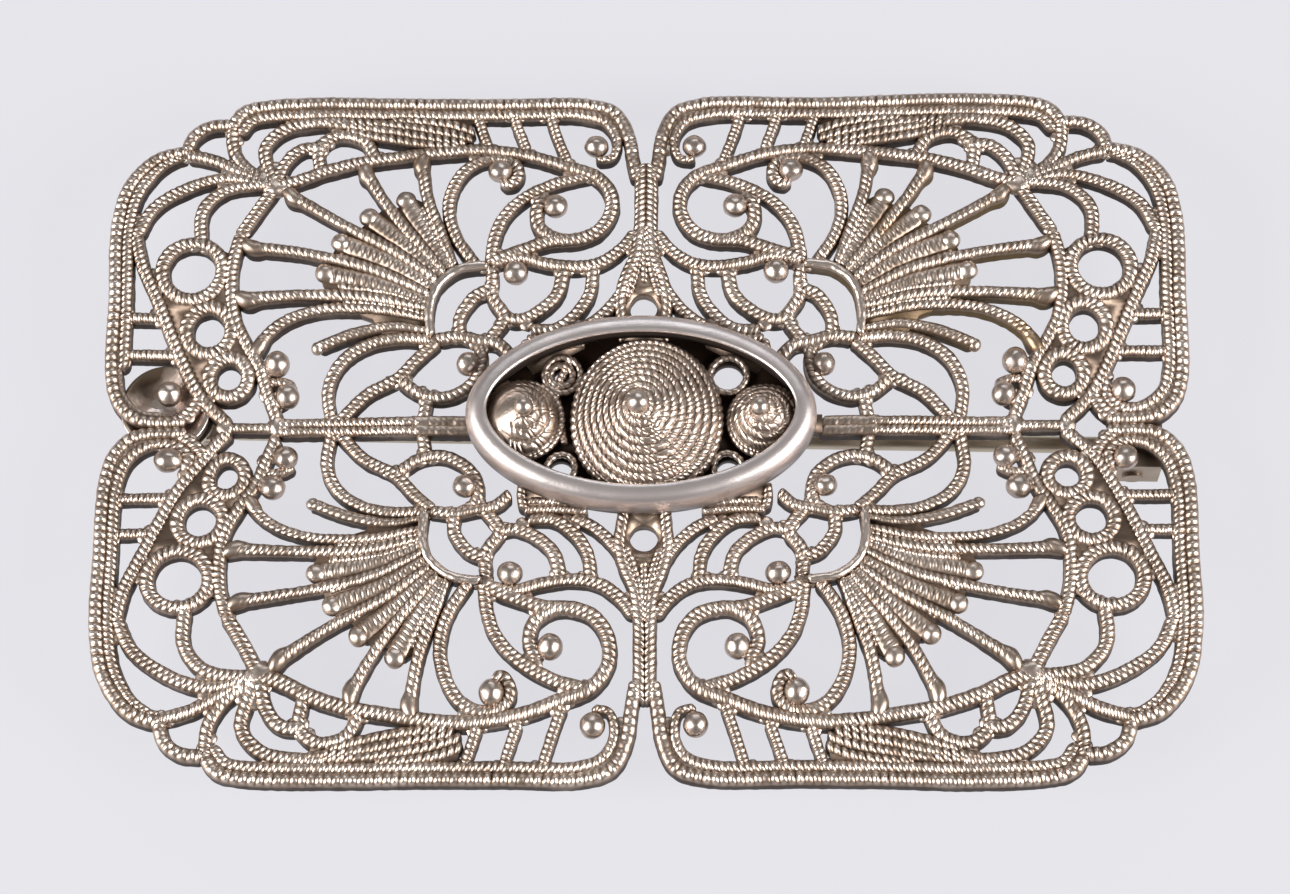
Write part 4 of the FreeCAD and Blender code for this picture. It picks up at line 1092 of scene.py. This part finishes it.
make_piece("upper_stem_wirework", stem(1), beaded, "upper_stem")
make_piece("lower_stem_wirework", stem(-1), beaded, "lower_stem")
make_piece("right_centre_bar_wirework", centre_bar(1), beaded, "right_centre_bar")
make_piece("left_centre_bar_wirework", centre_bar(-1), beaded, "left_centre_bar")
make_piece("oval_bezel_wall", bezel(), burnished, "oval_bezel", stray=False)
make_piece("centre_base_openwork", base_plate(), beaded, "centre_base_plate", stray=False)
make_piece("wire_loops_twisted", loops(), corded, "wire_loops", stray=False)
make_piece("centre_cone_cord", centre_cone(), corded, "centre_cone", stray=False)
make_piece("left_boss_cord", left_boss(), corded, "left_boss", stray=False)
make_piece("right_boss_cord", right_boss(), corded, "right_boss", stray=False)
make_piece("apex_granules", apex_balls(), grained, "apex_balls", stray=False)


# --- the dish of the catch ----------------------------------------------------------------------

DISH_X = -26.55
DISH_Y = 1.2
DISH_RADIUS = 2.42


def dish_cup():
    """The hollow of the catch dish, which shows between the wires at the left end. Its colour carries painted
    light on the lower right wall and painted shade on the upper left.
    """
    shape = Shape()
    rings = []
    levels = 14
    around = 72
    for level in range(levels + 1):
        share = 0.04 + 0.96 * level / levels
        ring = []
        for i in range(around):
            turn = 2 * math.pi * i / around
            c, s = math.cos(turn), math.sin(turn)
            hammered = 0.05 * noise.noise(Vector((c * share * 3.0, s * share * 3.0, 2.2)))
            z = BACK - 0.2 + 1.1 * share ** 1.7 + hammered * (1 - share * 0.5)
            # Painted light and shade: the wear value rises towards the lower right wall, which is painted
            # lit, and falls towards the upper left, which is painted in shade.
            wear_and_painted_light = 0.62 + 0.75 * share * (0.5 * c - 0.7 * s) + 0.1 * share
            px = DISH_X + DISH_RADIUS * share * c - 0.75 * (1 - share)
            py = DISH_Y + DISH_RADIUS * share * s + 0.6 * (1 - share)
            ring.append(shape.add((px, py, z), wear_and_painted_light))
        rings.append(ring)
    for out, z in ((1.03, BACK + 0.85), (1.0, BACK - 0.2), (0.5, BACK - 0.36), (0.04, BACK - 0.36)):
        outside = circle(DISH_X, DISH_Y, DISH_RADIUS * out, around)
        rings.append([shape.add((x, y, z), 0.25) for x, y in outside])
    connect(shape, rings, True)
    return shape


make_piece("catch_dish_cup", dish_cup(), dished, None, stray=False)


# --- the pin and its fittings ------------------------------------------------------------------

FITTINGS = {
    "pin_stem": drawn,
    "hinge_box": fitting,
    "hinge_rivet": fitting,
    "catch_base": catch,
    "catch_rotor": catch,
}
for name, metal in FITTINGS.items():
    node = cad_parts[name]
    node.data.materials.clear()
    node.data.materials.append(metal)


# --- floor, light and camera -------------------------------------------------------------------


def floor():
    """A pale table top that glows a little, so that the shadows on it stay faint."""
    bpy.ops.mesh.primitive_plane_add(size=3.0, location=(0, 0, -0.0001))
    obj = bpy.context.object
    obj.name = "table_top"
    material = bpy.data.materials.new("pale_table")
    material.use_nodes = True
    shader = material.node_tree.nodes["Principled BSDF"]
    shader.inputs["Base Color"].default_value = (0.05, 0.05, 0.052, 1)
    shader.inputs["Roughness"].default_value = 0.6
    shader.inputs["Emission Color"].default_value = (0.95, 0.945, 1.0, 1)
    shader.inputs["Emission Strength"].default_value = 0.74
    obj.data.materials.append(material)


def soft_box(name, direction, distance, size, power, colour):
    """A rectangular light that points at the middle of the scene."""
    data = bpy.data.lights.new(name, "AREA")
    data.shape = "RECTANGLE"
    data.size, data.size_y = size
    data.energy = power
    data.color = colour
    obj = bpy.data.objects.new(name, data)
    aim = Vector(direction).normalized()
    obj.location = aim * distance
    obj.rotation_euler = aim.to_track_quat("Z", "Y").to_euler()
    bpy.context.scene.collection.objects.link(obj)


def lights():
    soft_box("left_soft_box", (-0.80, -0.30, 0.50), 0.42, (0.22, 0.22), 2.3, (1.0, 0.965, 0.94))
    soft_box("right_soft_box", (0.80, -0.30, 0.50), 0.42, (0.22, 0.22), 2.1, (1.0, 0.965, 0.94))
    soft_box("overhead_soft_box", (0.05, 0.75, 0.65), 0.5, (0.35, 0.18), 0.4, (0.95, 0.97, 1.0))
    world = bpy.data.worlds.new("studio")
    bpy.context.scene.world = world
    world.use_nodes = True
    background = world.node_tree.nodes["Background"]
    background.inputs["Color"].default_value = (0.60, 0.57, 0.55, 1)
    background.inputs["Strength"].default_value = 0.2


LENS = 101.7
TILT = math.radians(70.3)
TURN = math.radians(3.7)
TIP = math.radians(-3.72)
DISTANCE = 0.2


def camera():
    """A long lens above the near edge of the brooch, turned and tipped by a few degrees."""
    data = bpy.data.cameras.new("camera")
    data.lens = LENS
    data.sensor_width = 36.0
    data.clip_start = 0.01
    obj = bpy.data.objects.new("camera", data)
    target = Vector((0.01, -1.31, 4.1)) * MM
    back = Vector((math.sin(TURN) * math.cos(TILT), -math.cos(TURN) * math.cos(TILT), math.sin(TILT)))
    level = Vector((math.cos(TURN), math.sin(TURN), 0))
    rise = back.cross(level)
    right = level * math.cos(TIP) + rise * math.sin(TIP)
    up = rise * math.cos(TIP) - level * math.sin(TIP)
    matrix = Matrix((right, up, back)).transposed().to_4x4()
    matrix.translation = target + back * DISTANCE
    obj.matrix_world = matrix
    bpy.context.scene.collection.objects.link(obj)
    bpy.context.scene.camera = obj
    bpy.context.scene.view_settings.view_transform = "Standard"


floor()
lights()
camera()
